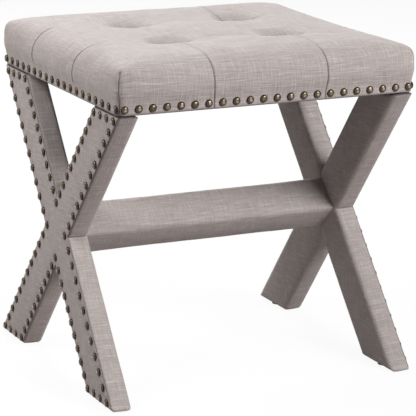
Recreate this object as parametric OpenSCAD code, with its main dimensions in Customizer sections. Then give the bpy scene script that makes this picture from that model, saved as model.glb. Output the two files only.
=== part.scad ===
// Upholstered bench: a tufted seat on two crossed leg frames, joined by a stretcher
// Width runs along X, depth along Y with the front towards -Y, and the floor is Z = 0

/* [Seat] */
// Width of the seat over its cover
seat_w = 438; // [400:1:560]
// Depth of the seat over its cover
seat_d = 416; // [376:1:480]
// Height of the seat from its underside to the top of the crown
seat_h = 70; // [67:1:95]
// Radius of the rolled top edge
edge_r = 28; // [22:1:31]
// Rise of the crown above the rolled edge
crown_h = 4; // [2:0.5:7]
// Swell of the sides at their fullest
bulge = 4; // [2:0.5:7]
// Depth of the groove drawn in above the nails
groove_d = 0.8; // [0.2:0.1:1.4]
// Plan radius of the seat's corners
corner_r = 14; // [10:1:20]
// Thickness of the seat cover, linen and its wadding together
cover_t = 1.6; // [1:0.1:2.4]
// Width of the cover's hem under the rails
hem_w = 24; // [18:1:32]
// Thickness of the black dust cover under the seat
dust_t = 1; // [0.6:0.1:1.6]
// Distance from the seat's edge to the dust cover's edge
dust_in = 9; // [5:1:14]

/* [Tufts] */
// Spacing of the tufts across the width
tuft_pitch_x = 168; // [140:1:190]
// Spacing of the tufts across the depth
tuft_pitch_y = 137; // [120:1:160]
// Depth of a tuft below the crown
tuft_depth = 18; // [10:1:20]
// Radius of the dimple round a tuft
tuft_r = 42; // [34:1:50]
// Depth of the sewn pleats that run from a tuft over the edge
pleat_d = 2.5; // [1:0.5:4]
// Depth of the soft valleys between two tufts
valley_d = 3.5; // [1:0.5:6]
// Half width of a pleat's or valley's hollow
pleat_w = 18; // [12:1:19]
// Diameter of the twine that holds a tuft down
twine_d = 1.6; // [1:0.1:2.5]
// Diameter of the washer that anchors the twine
washer_d = 20; // [14:1:26]
// Thickness of the twine's washer
washer_t = 1.5; // [1:0.1:3]
// Diameter of the knot below the washer
knot_d = 5; // [4:0.5:8]

/* [Seat frame] */
// Height of the seat rails
rail_h = 24; // [20:1:27]
// Thickness of the seat rails
rail_t = 22; // [20:1:28]
// Thickness of the deck board
deck_t = 9; // [6:1:12]
// Length of a corner block along each rail
block_l = 50; // [36:1:64]
// Height of a corner block
block_h = 18; // [12:1:20]

/* [Leg frames] */
// Height from the floor to the top of the legs
leg_h = 400; // [360:1:480]
// Length of a foot along the depth, over its cover
foot_l = 85; // [76:1:94]
// Distance that a foot stands out past the top of its leg
leg_splay = 10; // [0:1:16]
// Thickness of a leg's wooden core
leg_core_t = 23; // [21:1:30]
// Thickness of the wadding on the legs
wadding_t = 2.3; // [1.5:0.1:3]
// Thickness of the linen on the legs and stretcher
linen_t = 1.2; // [0.8:0.1:1.8]
// Radius of the long edges of a covered leg
leg_edge_r = 3.5; // [2.8:0.1:5]
// Distance from a leg's edge to the edge of the panel on its outer face
panel_in = 1.5; // [1:0.1:2.5]
// Clearance round the half-lap where two cores cross
lap_fit = 0.2; // [0.1:0.05:0.5]

/* [Stretcher] */
// Side of the stretcher's square section over its cover
stretcher_side = 55; // [48:1:60]
// Thickness of the stretcher's wadding
stretcher_wadding_t = 4; // [3:0.5:6]
// Radius of the stretcher's long edges over its cover
stretcher_edge_r = 7; // [5.5:0.5:10]

/* [Nails] */
// Diameter of a nail's domed head
nail_d = 11; // [8:0.5:12]
// Height of the domed head
nail_h = 3.6; // [2.5:0.1:4.5]
// Diameter of a nail's shank
nail_shank_d = 1.8; // [1.2:0.1:2.2]
// Length of a nail's shank below its head
nail_shank_l = 7; // [5:0.5:7]
// Distance from a leg's edge to the middle of its nails
nail_inset = 8; // [7:0.5:10]
// Height of the seat's nails above the seat's lower edge
nail_rise = 8.5; // [7.5:0.5:10]
// Distance from a seat corner to its nearest nail
nail_end = 8.5; // [8.5:0.5:12]
// Nails along the front of the seat, and along its back
front_nails = 22; // [14:1:26]
// Nails along each side of the seat
side_nails = 19; // [12:1:22]
// Steps between nails from a foot or a top to the outer crotch
outer_steps = 11; // [6:1:12]
// Steps between nails from a foot or a top to the inner crotch
inner_steps = 10; // [5:1:11]
// Steps between nails across a foot or a top
end_steps = 3; // [2:1:3]

/* [Fasteners] */
// Diameter of the screws that hold the legs to the seat
leg_screw_d = 6; // [5:0.5:7]
// Depth of these screws in a leg's core
leg_screw_depth = 40; // [25:1:44]
// Distance between the two screws of one leg
leg_screw_pitch = 22; // [18:1:26]
// Diameter of a leg screw's head
leg_screw_head_d = 13; // [10:0.5:14]
// Height of a leg screw's head
leg_screw_head_h = 4; // [3:0.5:6]
// Depth of a leg screw's head below the rail's top
leg_screw_sink = 1; // [0.5:0.5:3]
// Diameter of the screws that hold the deck down
deck_screw_d = 4; // [3:0.5:5]
// Length of a deck screw
deck_screw_l = 28; // [20:1:30]
// Diameter of a deck screw's countersunk head
deck_screw_head_d = 8; // [7:0.5:10]
// Diameter of the stretcher's bolts
bolt_d = 8; // [6:1:10]
// Depth of a bolt in the stretcher's core
bolt_depth = 45; // [30:1:60]
// Diameter of a bolt's head
bolt_head_d = 16; // [13:1:20]
// Height of a bolt's head
bolt_head_h = 4; // [3:0.5:5]
// Diameter of the stretcher's dowels
dowel_d = 8; // [6:1:9]
// Distance between the two dowels of one end
dowel_pitch = 30; // [26:1:34]
// Depth of a dowel in a leg's core
dowel_depth = 9; // [6:0.5:9.5]
// Depth of a dowel in the stretcher's core
dowel_reach = 25; // [15:1:35]

/* [Feet] */
// Diameter of the glide under each foot
glide_d = 22; // [16:1:25]
// Thickness of a glide
glide_t = 2.5; // [2:0.5:5]
// Diameter of a glide's pin
pin_d = 2.4; // [1.6:0.2:3]
// Length of a glide's pin
pin_l = 16; // [10:1:18]

/* [Hidden] */
$fn = 32;

// How far a cut runs past the face that it opens
overrun = 1;
// Clearance of soft pieces from what they cover
soft_fit = 0.3;
// Clearance of a nail, screw, bolt, dowel or pin in its hole, on the radius
hole_fit = 0.1;
// Flat steps in each rounded edge of a covered bar
corner_steps = 4;

// Levels of the seat, from its underside up
seat_z = leg_h + dust_t;
rail_z = seat_z + cover_t;
rail_top = rail_z + rail_h;
deck_z = rail_top + deck_t;
shoulder_z = seat_z + seat_h - crown_h - edge_r;
// Top of the flat band that takes the nails, and the height of the groove above it
band_h = nail_rise + nail_d / 2 + 2 * cover_t;
groove_h = band_h + 3 * cover_t;

// The wooden seat frame clears the cover at its groove
frame_w = seat_w - 2 * (groove_d + cover_t + soft_fit);
frame_d = seat_d - 2 * (groove_d + cover_t + soft_fit);

// Places of the tufts in one quarter of the seat
tuft_x = tuft_pitch_x / 2;
tuft_y = tuft_pitch_y / 2;

// Skin over a leg's core, thickness of a covered bar, and of a whole leg with its outer panel
skin_t = wadding_t + linen_t;
bar_t = leg_core_t + 2 * skin_t;
leg_t = bar_t + linen_t;
// Lean of a leg frame, and at its upright the middle of the bars and the faces of their covers
splay_angle = asin(leg_splay / leg_h);
frame_x = seat_w / 2 - linen_t - bar_t / 2;
bar_face_x = frame_x + bar_t / 2;
joint_x = frame_x - bar_t / 2;

// Run, rise and lean of a crossed bar, and its width square to its length
bar_rise = leg_h - glide_t;
bar_run = seat_d - foot_l;
bar_angle = atan(bar_rise / bar_run);
bar_w = foot_l * sin(bar_angle);
bar_mid_z = glide_t + bar_rise / 2;
bar_stock_l = norm([bar_rise, bar_run]) + 2 * foot_l;

// Distance out from the middle, at height z, of a plane that stands at x in an upright frame
function leaning_x(x, z) = seat_w / 2 - (seat_w / 2 - x) / cos(splay_angle) + (leg_h - z) * tan(splay_angle);

// Radius of the ball that a nail's domed head is a slice of
dome_r = (pow(nail_d / 2, 2) + pow(nail_h, 2)) / (2 * nail_h);

// Grid of the cushion's top: cells a side, and the lines near the edge as shares of the edge radius
grid_n = 16;
edge_line_shares = [1.1, 0.47, 0.15];
// Sharpness of a tuft's dimple, where 1 is a plain cone
tuft_sharpness = 1.4;
// Share of the swell that the side has at the deck
deck_bulge_share = 0.85;
// How much of the pleat shows at each level of the side, from the hem up
side_pleat_shares = [0, 0, 0, 0.6, 0.6];
// Grid lines on both sides of a tuft keep this distance from it
tuft_step = pleat_w + cover_t / 2;

linen_color = [0.69, 0.65, 0.63];
wadding_color = [0.93, 0.92, 0.88];
wood_color = [0.78, 0.62, 0.42];
foam_color = [0.93, 0.87, 0.66];
nail_color = [0.36, 0.29, 0.22];
steel_color = [0.62, 0.62, 0.63];
dark_color = [0.08, 0.08, 0.08];
twine_color = [0.85, 0.80, 0.70];

// Outline helpers

// Points of a rectangle with rounded corners, centred on the origin
function rounded_points(w, h, r) = r <= 0
    ? [[w, h] / 2, [-w, h] / 2, [-w, -h] / 2, [w, -h] / 2]
    : [for (c = [0 : 3]) for (s = [0 : corner_steps])
        let (a = 90 * (c + s / corner_steps),
            cx = (c == 0 || c == 3 ? 1 : -1) * (w / 2 - r),
            cy = (c < 2 ? 1 : -1) * (h / 2 - r))
        [cx + r * cos(a), cy + r * sin(a)]];

// Cushion surface: every function takes the inset t from the cover's outer face

function half_x(t) = seat_w / 2 + bulge - t;
function half_y(t) = seat_d / 2 + bulge - t;

// Grid lines over half the seat, from the middle out, and over the whole seat
function half_lines(half, tuft) =
    let (inner = half - edge_r * edge_line_shares[0])
    [0, tuft - tuft_step, tuft, tuft + tuft_step, (tuft + tuft_step + inner) / 2, inner,
        half - edge_r * edge_line_shares[1], half - edge_r * edge_line_shares[2], half];
function lines(half, tuft) =
    let (h = half_lines(half, tuft))
    [for (i = [-grid_n / 2 : grid_n / 2]) sign(i) * h[abs(i)]];

// Rise of the rolled edge at distance d in from the side, as a share of its radius
function roll(d, r) = d >= r ? 1 : sqrt(1 - pow(1 - max(d, 0) / r, 2));

// Hollow across a line: full on the line and gone at its half width
function hollow(d) = max(0, 1 - abs(d) / pleat_w);

// Depth of the pleats and valleys, then of the tufts
function pleat_dip(x, y) =
    let (dx = abs(x) - tuft_x, dy = abs(y) - tuft_y)
    max(hollow(dx) * (dy > 0 ? pleat_d : valley_d), hollow(dy) * (dx > 0 ? pleat_d : valley_d));
function tuft_dip(x, y) =
    let (d = norm([abs(x) - tuft_x, abs(y) - tuft_y]))
    tuft_depth * pow(max(0, 1 - d / tuft_r), tuft_sharpness);

// Height of the cushion's top
function top_z(x, y, t) =
    let (edge = roll(half_x(t) - abs(x), edge_r - t) * roll(half_y(t) - abs(y), edge_r - t),
        crown = crown_h * (1 - pow(x / half_x(t), 2)) * (1 - pow(y / half_y(t), 2)))
    shoulder_z + (edge_r - t) * edge + crown - edge * max(tuft_dip(x, y), pleat_dip(x, y));

// Moves a point of a rectangle's corner onto its rounded corner
function round_corner(x, y, hx, hy, r) =
    let (vx = abs(x) - hx + r, vy = abs(y) - hy + r, m = max(vx, vy) / norm([vx, vy]))
    min(vx, vy) <= 0 ? [x, y] : [sign(x) * (hx - r + vx * m), sign(y) * (hy - r + vy * m)];

// A point of the side, moved in where a pleat crosses it
function side_point(x, y, hx, hy, t, z, pleat_share) =
    let (fx = x / half_x(t), fy = y / half_y(t),
        in_x = abs(fx) < 1 ? 0 : pleat_d * pleat_share * hollow(abs(y) - tuft_y),
        in_y = abs(fy) < 1 ? 0 : pleat_d * pleat_share * hollow(abs(x) - tuft_x),
        p = round_corner(fx * hx, fy * hy, hx, hy, corner_r - t))
    [p[0] - sign(x) * in_x, p[1] - sign(y) * in_y, z];

// Levels of the side from the hem up, as [height, outset, share of the pleat]
function side_levels() = [[seat_z, 0], [seat_z + band_h, 0], [seat_z + groove_h, -groove_d],
    [deck_z, bulge * deck_bulge_share], [shoulder_z, bulge]];

// The rim of the grid as [column, row], counter-clockwise from the front left corner
function rim(k) = k < grid_n ? [k, 0]
    : k < 2 * grid_n ? [grid_n, k - grid_n]
    : k < 3 * grid_n ? [3 * grid_n - k, grid_n]
    : [0, 4 * grid_n - k];
rim_n = 4 * grid_n;

// Points of the whole top, row by row from the front
function top_points(t) =
    let (xs = lines(half_x(t), tuft_x), ys = lines(half_y(t), tuft_y), last = len(side_levels()) - 1)
    [for (j = [0 : grid_n]) for (i = [0 : grid_n])
        (i == 0 || j == 0 || i == grid_n || j == grid_n)
            ? side_point(xs[i], ys[j], half_x(t), half_y(t), t, shoulder_z, side_pleat_shares[last])
            : concat(round_corner(xs[i], ys[j], half_x(t), half_y(t), corner_r - t),
                [top_z(xs[i], ys[j], t)])];

// Points of one ring of the side, with outset out
function ring_points(out, t, z, pleat_share) =
    let (xs = lines(half_x(t), tuft_x), ys = lines(half_y(t), tuft_y))
    [for (k = [0 : rim_n - 1]) let (c = rim(k))
        side_point(xs[c[0]], ys[c[1]], seat_w / 2 + out - t, seat_d / 2 + out - t, t, z, pleat_share)];
function level_ring(n, t) =
    let (v = side_levels()[n])
    ring_points(v[1], t, n == 0 ? v[0] + t : v[0], side_pleat_shares[n]);

// Triangles of a quad whose corners run counter-clockwise seen from outside
function quad(a, b, c, d) = [[a, c, b], [a, d, c]];
function top_index(c) = c[1] * (grid_n + 1) + c[0];
top_count = pow(grid_n + 1, 2);
function top_faces(first, up) = [for (j = [0 : grid_n - 1]) for (i = [0 : grid_n - 1])
    let (a = first + top_index([i, j]), b = first + top_index([i + 1, j]),
        c = first + top_index([i + 1, j + 1]), d = first + top_index([i, j + 1]))
    each (up ? quad(a, b, c, d) : quad(a, d, c, b))];
function rim_indices(first) = [for (k = [0 : rim_n - 1]) first + top_index(rim(k))];
function ring_indices(first) = [for (k = [0 : rim_n - 1]) first + k];
// Faces of the band from ring a down to ring b
function band_faces(a, b) = [for (k = [0 : rim_n - 1]) let (m = (k + 1) % rim_n)
    each quad(b[k], b[m], a[m], a[k])];

// Seat pieces

// The sewn cover: outer skin, hem under the rails, and inner skin as one closed solid
module cover_shell() {
    hem_out = -hem_w;
    rings = [level_ring(3, 0), level_ring(2, 0), level_ring(1, 0), ring_points(0, 0, seat_z, 0),
        ring_points(hem_out, 0, seat_z, 0), ring_points(hem_out, 0, rail_z, 0),
        level_ring(0, cover_t), level_ring(1, cover_t), level_ring(2, cover_t), level_ring(3, cover_t)];
    inner_first = top_count + len(rings) * rim_n;
    chain = concat([rim_indices(0)],
        [for (n = [0 : len(rings) - 1]) ring_indices(top_count + n * rim_n)],
        [rim_indices(inner_first)]);
    polyhedron(
        points = concat(top_points(0), [for (ring = rings) each ring], top_points(cover_t)),
        faces = concat(top_faces(0, true),
            [for (n = [0 : len(chain) - 2]) each band_faces(chain[n], chain[n + 1])],
            top_faces(inner_first, false)));
}

module seat_cover() {
    color(linen_color) difference() {
        cover_shell();
        leg_screw_holes();
        seat_nail_holes();
    }
}

module seat_foam() {
    t = cover_t + soft_fit;
    centre = top_count + rim_n;
    low_ring = ring_indices(top_count);
    color(foam_color) difference() {
        polyhedron(
            points = concat(top_points(t), level_ring(3, t), [[0, 0, deck_z]]),
            faces = concat(top_faces(0, true), band_faces(rim_indices(0), low_ring),
                [for (k = [0 : rim_n - 1]) [centre, low_ring[k], low_ring[(k + 1) % rim_n]]]));
        at_tufts() twine_hole();
    }
}

// Places its children at the four tufts
module at_tufts() {
    for (x = [-tuft_x, tuft_x]) {
        for (y = [-tuft_y, tuft_y]) {
            translate([x, y, 0]) children();
        }
    }
}

module twine_hole() {
    translate([0, 0, rail_z]) cylinder(d = twine_d + 2 * hole_fit, h = seat_h);
}

twine_top = top_z(tuft_x, tuft_y, cover_t);
washer_z = rail_top - washer_t;

module tuft_twines() {
    color(twine_color) at_tufts() {
        translate([0, 0, washer_z]) cylinder(d = twine_d, h = twine_top - washer_z);
        difference() {
            translate([0, 0, washer_z]) sphere(d = knot_d);
            translate([-knot_d, -knot_d, washer_z]) cube(2 * knot_d);
        }
    }
}

module tuft_washers() {
    color(steel_color) at_tufts() difference() {
        translate([0, 0, washer_z]) cylinder(d = washer_d, h = washer_t);
        twine_hole();
    }
}

// A block of the seat frame's outline, with its corners rounded to clear the cover
module frame_slab(z, h) {
    translate([0, 0, z]) linear_extrude(height = h) polygon(rounded_points(frame_w, frame_d, corner_r));
}

module seat_deck() {
    color(wood_color) difference() {
        frame_slab(rail_top, deck_t);
        at_tufts() twine_hole();
        deck_screw_holes();
    }
}

// Side rails run the full depth, front and back rails fit between them
module side_rail(side) {
    color(wood_color) difference() {
        intersection() {
            frame_slab(rail_z, rail_h);
            translate([side > 0 ? frame_w / 2 - rail_t : -frame_w / 2, -frame_d / 2, rail_z])
                cube([rail_t, frame_d, rail_h]);
        }
        leg_screw_holes();
        deck_screw_holes();
        seat_nail_holes();
    }
}

module end_rail(side) {
    color(wood_color) difference() {
        translate([rail_t - frame_w / 2, side > 0 ? frame_d / 2 - rail_t : -frame_d / 2, rail_z])
            cube([frame_w - 2 * rail_t, rail_t, rail_h]);
        deck_screw_holes();
        seat_nail_holes();
    }
}

module corner_block(side_x, side_y) {
    inner_x = frame_w / 2 - rail_t;
    inner_y = frame_d / 2 - rail_t;
    color(wood_color) translate([0, 0, rail_top - block_h]) linear_extrude(height = block_h)
        polygon([[side_x * inner_x, side_y * inner_y], [side_x * (inner_x - block_l), side_y * inner_y],
            [side_x * inner_x, side_y * (inner_y - block_l)]]);
}

module dust_cover() {
    color(dark_color) difference() {
        translate([dust_in - seat_w / 2, dust_in - seat_d / 2, leg_h])
            cube([seat_w - 2 * dust_in, seat_d - 2 * dust_in, dust_t]);
        leg_screw_holes();
    }
}

// Screws

// Steps along a rail for the deck's screws, as shares of the frame's size
side_screw_shares = [-0.2, 0.2];
end_screw_shares = [-0.3, 0, 0.3];

module at_deck_screws() {
    for (side = [-1, 1]) {
        for (share = side_screw_shares) {
            translate([side * (frame_w - rail_t) / 2, share * frame_d, deck_z]) children();
        }
        for (share = end_screw_shares) {
            translate([share * frame_w, side * (frame_d - rail_t) / 2, deck_z]) children();
        }
    }
}

// A countersunk screw hanging down from its head, grown by fit all round
module countersunk(fit) {
    head_h = (deck_screw_head_d - deck_screw_d) / 2;
    translate([0, 0, -deck_screw_l - fit]) cylinder(d = deck_screw_d + 2 * fit, h = deck_screw_l + fit);
    translate([0, 0, -head_h])
        cylinder(d1 = deck_screw_d + 2 * fit, d2 = deck_screw_head_d + 2 * fit, h = head_h);
}

module deck_screw_holes() {
    at_deck_screws() countersunk(hole_fit);
}

module deck_screws() {
    color(steel_color) at_deck_screws() countersunk(0);
}

// A leg's screws stand over the middle of the core that they go down into
leg_screw_in = leg_screw_depth / 2 / tan(bar_angle);
leg_screw_seat = rail_top - leg_screw_head_h - leg_screw_sink;

module at_leg_screws() {
    for (side = [-1, 1]) {
        for (end = [-1, 1]) {
            for (step = [-leg_screw_pitch / 2, leg_screw_pitch / 2]) {
                translate([side * frame_x, end * (bar_run / 2 - leg_screw_in + step), 0]) children();
            }
        }
    }
}

module leg_screw_holes() {
    at_leg_screws() {
        translate([0, 0, leg_h - leg_screw_depth - hole_fit])
            cylinder(d = leg_screw_d + 2 * hole_fit, h = leg_screw_seat - leg_h + leg_screw_depth + 2 * hole_fit);
        translate([0, 0, leg_screw_seat])
            cylinder(d = leg_screw_head_d + 2 * hole_fit, h = leg_screw_head_h + leg_screw_sink + overrun);
    }
}

module leg_screws() {
    color(steel_color) at_leg_screws() {
        translate([0, 0, leg_h - leg_screw_depth])
            cylinder(d = leg_screw_d, h = leg_screw_seat - leg_h + leg_screw_depth + leg_screw_head_h / 2);
        translate([0, 0, leg_screw_seat]) cylinder(d = leg_screw_head_d, h = leg_screw_head_h);
    }
}

// Leg frames: the front bar stands on the front foot and leans back, the back bar leans forward
// Every module here makes the left frame, and the right frame mirrors it

// Sweeps a flat outline along a bar, with lean 1 for the front bar and -1 for the back bar
module bar_sweep(lean) {
    splayed() translate([-frame_x, 0, bar_mid_z]) rotate([-lean * (90 - bar_angle), 0, 0])
        linear_extrude(height = bar_stock_l, center = true) children();
}

// One straight bar, shrunk by inset all round
module bar(lean, inset) {
    intersection() {
        bar_sweep(lean) polygon(rounded_points(bar_t - 2 * inset, bar_w - 2 * inset, leg_edge_r - inset));
        level_slab(glide_t + inset, bar_rise - 2 * inset);
    }
}

// The path of a bar, right through the frame's thickness
module bar_path(lean, inset) {
    bar_sweep(lean) square([2 * leg_t, bar_w - 2 * inset], center = true);
}

// Leans the left frame outwards, turned about its outer edge under the seat
module splayed() {
    translate([-seat_w / 2, 0, leg_h]) rotate([0, splay_angle, 0])
        translate([seat_w / 2, 0, -leg_h]) children();
}

// A level slab over the whole of the left frame, from height z up
module level_slab(z, h) {
    translate([-seat_w, -seat_d, z]) cube([seat_w, 2 * seat_d, h]);
}

// The half of the frame's thickness on the seat's side of the lap, or on the outside
module lap_side(inner) {
    splayed() translate([inner ? -frame_x : -frame_x - leg_t, -seat_d, 0]) cube([leg_t, 2 * seat_d, leg_h]);
}

module bar_core(lean) {
    color(wood_color) difference() {
        bar(lean, skin_t);
        intersection() {
            bar(-lean, skin_t - lap_fit);
            lap_side(lean > 0);
        }
        leg_nail_holes(lean);
        frame_fastener_holes();
    }
}

// A layer between two insets round the front bar, whole, with windows where the back bar passes
module front_bar_layer(outer, inner, crossing) {
    difference() {
        bar(1, outer);
        bar(1, inner);
        bar(-1, crossing);
        leg_nail_holes(1);
        frame_fastener_holes();
    }
}

// A layer round the back bar, above or below the front bar
module back_bar_layer(outer, inner, crossing, upper) {
    difference() {
        bar(-1, outer);
        bar(-1, inner);
        bar_path(1, crossing);
        level_slab(upper ? bar_mid_z - leg_h : bar_mid_z, leg_h);
        leg_nail_holes(-1);
        frame_fastener_holes();
    }
}

module front_bar_wadding() {
    color(wadding_color) front_bar_layer(linen_t, skin_t, skin_t);
}

module back_bar_wadding(upper) {
    color(wadding_color) back_bar_layer(linen_t, skin_t, linen_t, upper);
}

module front_bar_cover() {
    color(linen_color) front_bar_layer(0, linen_t, linen_t);
}

module back_bar_cover(upper) {
    color(linen_color) back_bar_layer(0, linen_t, 0, upper);
}

// The linen panel that covers the outer face of a leg frame, under its nails
module outer_panel() {
    color(linen_color) difference() {
        splayed() translate([-seat_w / 2, 0, bar_mid_z]) rotate([90, 0, 90])
            linear_extrude(height = linen_t) polygon(cross_points(panel_in));
        at_leg_nails(leg_nail_places) nail_hole();
    }
}

module right_side() {
    mirror([1, 0, 0]) children();
}

// Holes in a leg frame for the screws, the stretcher's bolt and dowels, and the glides' pins
module frame_fastener_holes() {
    leg_screw_holes();
    bolt(hole_fit);
    dowels(hole_fit);
    at_feet() glide_pin(hole_fit);
}

// Nails

// A nail that stands on Z = 0 with its shank below
module nail() {
    intersection() {
        translate([0, 0, nail_h - dome_r]) sphere(r = dome_r);
        translate([-nail_d, -nail_d, 0]) cube([2 * nail_d, 2 * nail_d, nail_d]);
    }
    translate([0, 0, -nail_shank_l]) cylinder(d = nail_shank_d, h = nail_shank_l + nail_h / 2);
}

module nail_hole() {
    translate([0, 0, -nail_shank_l - hole_fit])
        cylinder(d = nail_shank_d + 2 * hole_fit, h = nail_shank_l + hole_fit + overrun);
}

// Corners of a crossed frame's outline at an inset from every edge, as depth and height from its middle
function cross_points(inset) =
    let (half = foot_l / 2 - inset / sin(bar_angle), top = bar_rise / 2 - inset,
        far = top / tan(bar_angle) + half, near = top / tan(bar_angle) - half,
        crotch = half * tan(bar_angle))
    [[near, top], [far, top], [half, 0], [far, -top], [near, -top], [0, -crotch],
        [-near, -top], [-far, -top], [-half, 0], [-far, top], [-near, top], [0, crotch]];

// Nails follow that outline, from corner to corner
nail_corners = cross_points(nail_inset);
nail_steps = [for (half = [0, 1]) each [end_steps, outer_steps, outer_steps, end_steps, inner_steps, inner_steps]];
leg_nail_places = [for (c = [0 : len(nail_corners) - 1]) for (s = [0 : nail_steps[c] - 1])
    let (from = nail_corners[c], to = nail_corners[(c + 1) % len(nail_corners)])
    from + (to - from) * s / nail_steps[c]];

// Tells whether a nail place lies on the bar with this lean
function on_bar(p, lean) = abs(p[0] - lean * p[1] / tan(bar_angle)) < foot_l / 2;

module at_leg_nails(places) {
    splayed() for (p = places) {
        translate([-seat_w / 2, p[0], bar_mid_z + p[1]]) rotate([0, -90, 0]) children();
    }
}

module leg_nail_holes(lean) {
    at_leg_nails([for (p = leg_nail_places) if (on_bar(p, lean)) p]) nail_hole();
}

module leg_nails() {
    color(nail_color) at_leg_nails(leg_nail_places) nail();
}

// Nails in a row on the seat's front, turned to the side that they belong to
module at_seat_row(turn, length, depth, count) {
    pitch = (length - 2 * nail_end) / (count - 1);
    rotate([0, 0, turn]) for (i = [0 : count - 1]) {
        translate([i * pitch + nail_end - length / 2, -depth / 2, seat_z + nail_rise])
            rotate([90, 0, 0]) children();
    }
}

module at_end_row(turn) {
    at_seat_row(turn, seat_w, seat_d, front_nails) children();
}

module at_side_row(turn) {
    at_seat_row(turn, seat_d, seat_w, side_nails) children();
}

module seat_end_nails(turn) {
    color(nail_color) at_end_row(turn) nail();
}

module seat_side_nails(turn) {
    color(nail_color) at_side_row(turn) nail();
}

module seat_nail_holes() {
    for (turn = [0, 180]) {
        at_end_row(turn) nail_hole();
        at_side_row(turn + 90) nail_hole();
    }
}

// Stretcher

// The stretcher's square stock, set on edge along X between the leaning leg frames, shrunk by inset
// and shortened by cut at each end
module stretcher_stock(inset, cut) {
    side = stretcher_side - 2 * inset;
    top_x = leaning_x(joint_x, leg_h) - cut;
    foot_x = leaning_x(joint_x, 0) - cut;
    intersection() {
        translate([0, 0, bar_mid_z]) rotate([45, 0, 0]) rotate([0, 90, 0])
            linear_extrude(height = 2 * seat_w, center = true)
            polygon(rounded_points(side, side, stretcher_edge_r - inset));
        rotate([90, 0, 0]) linear_extrude(height = seat_d, center = true)
            polygon([[foot_x, 0], [top_x, leg_h], [-top_x, leg_h], [-foot_x, 0]]);
    }
}

module stretcher_fastener_holes() {
    for (turn = [0, 180]) {
        rotate([0, 0, turn]) {
            bolt(hole_fit);
            dowels(hole_fit);
        }
    }
}

module stretcher_core() {
    color(wood_color) difference() {
        stretcher_stock(linen_t + stretcher_wadding_t, linen_t);
        stretcher_fastener_holes();
    }
}

module stretcher_wadding() {
    color(wadding_color) difference() {
        stretcher_stock(linen_t, linen_t);
        stretcher_stock(linen_t + stretcher_wadding_t, linen_t - overrun);
    }
}

module stretcher_cover() {
    color(linen_color) difference() {
        stretcher_stock(0, 0);
        stretcher_stock(linen_t, linen_t);
        stretcher_fastener_holes();
    }
}

// The bolt at the left end: its head lies flush in the front bar's core, under the wadding
module bolt(fit) {
    length = leg_core_t + skin_t + bolt_depth;
    splayed() translate([skin_t - bar_face_x, 0, bar_mid_z]) rotate([0, 90, 0]) {
        cylinder(d = bolt_d + 2 * fit, h = length + fit);
        translate([0, 0, fit > 0 ? -fit : 0]) cylinder(d = bolt_head_d + 2 * fit, h = bolt_head_h + fit);
    }
}

// The two dowels at the left end
module dowels(fit) {
    splayed() for (y = [-dowel_pitch / 2, dowel_pitch / 2]) {
        translate([-joint_x - skin_t - dowel_depth - fit, y, bar_mid_z]) rotate([0, 90, 0])
            cylinder(d = dowel_d + 2 * fit, h = skin_t + dowel_depth + dowel_reach + 2 * fit);
    }
}

module stretcher_bolts() {
    color(steel_color) for (turn = [0, 180]) {
        rotate([0, 0, turn]) bolt(0);
    }
}

module stretcher_dowels() {
    color(wood_color) for (turn = [0, 180]) {
        rotate([0, 0, turn]) dowels(0);
    }
}

// Feet

module at_feet() {
    foot_x = leaning_x(frame_x, glide_t);
    for (x = [-foot_x, foot_x]) {
        for (y = [-bar_run / 2, bar_run / 2]) {
            translate([x, y, 0]) children();
        }
    }
}

module glide_pin(fit) {
    translate([0, 0, glide_t / 2]) cylinder(d = pin_d + 2 * fit, h = pin_l + fit);
}

module foot_glides() {
    color(dark_color) at_feet() {
        cylinder(d = glide_d, h = glide_t);
        glide_pin(0);
    }
}

seat_cover();
seat_foam();
seat_deck();
end_rail(-1);  // front_rail
end_rail(1);  // back_rail
side_rail(-1);  // left_rail
side_rail(1);  // right_rail
corner_block(-1, -1);  // front_left_block
corner_block(1, -1);  // front_right_block
corner_block(-1, 1);  // back_left_block
corner_block(1, 1);  // back_right_block
dust_cover();
tuft_twines();
tuft_washers();
deck_screws();
leg_screws();
seat_end_nails(0);  // front_seat_nails
seat_end_nails(180);  // back_seat_nails
seat_side_nails(-90);  // left_seat_nails
seat_side_nails(90);  // right_seat_nails
bar_core(1);  // left_front_bar
bar_core(-1);  // left_back_bar
right_side() bar_core(1);  // right_front_bar
right_side() bar_core(-1);  // right_back_bar
front_bar_wadding();  // left_front_bar_wadding
back_bar_wadding(true);  // left_back_bar_upper_wadding
back_bar_wadding(false);  // left_back_bar_lower_wadding
right_side() front_bar_wadding();  // right_front_bar_wadding
right_side() back_bar_wadding(true);  // right_back_bar_upper_wadding
right_side() back_bar_wadding(false);  // right_back_bar_lower_wadding
front_bar_cover();  // left_front_bar_cover
back_bar_cover(true);  // left_back_bar_upper_cover
back_bar_cover(false);  // left_back_bar_lower_cover
right_side() front_bar_cover();  // right_front_bar_cover
right_side() back_bar_cover(true);  // right_back_bar_upper_cover
right_side() back_bar_cover(false);  // right_back_bar_lower_cover
outer_panel();  // left_outer_panel
right_side() outer_panel();  // right_outer_panel
leg_nails();  // left_leg_nails
right_side() leg_nails();  // right_leg_nails
stretcher_core();
stretcher_wadding();
stretcher_cover();
stretcher_bolts();
stretcher_dowels();
foot_glides();
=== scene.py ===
import math

import bpy
import numpy as np
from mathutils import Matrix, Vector, kdtree, noise


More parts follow.
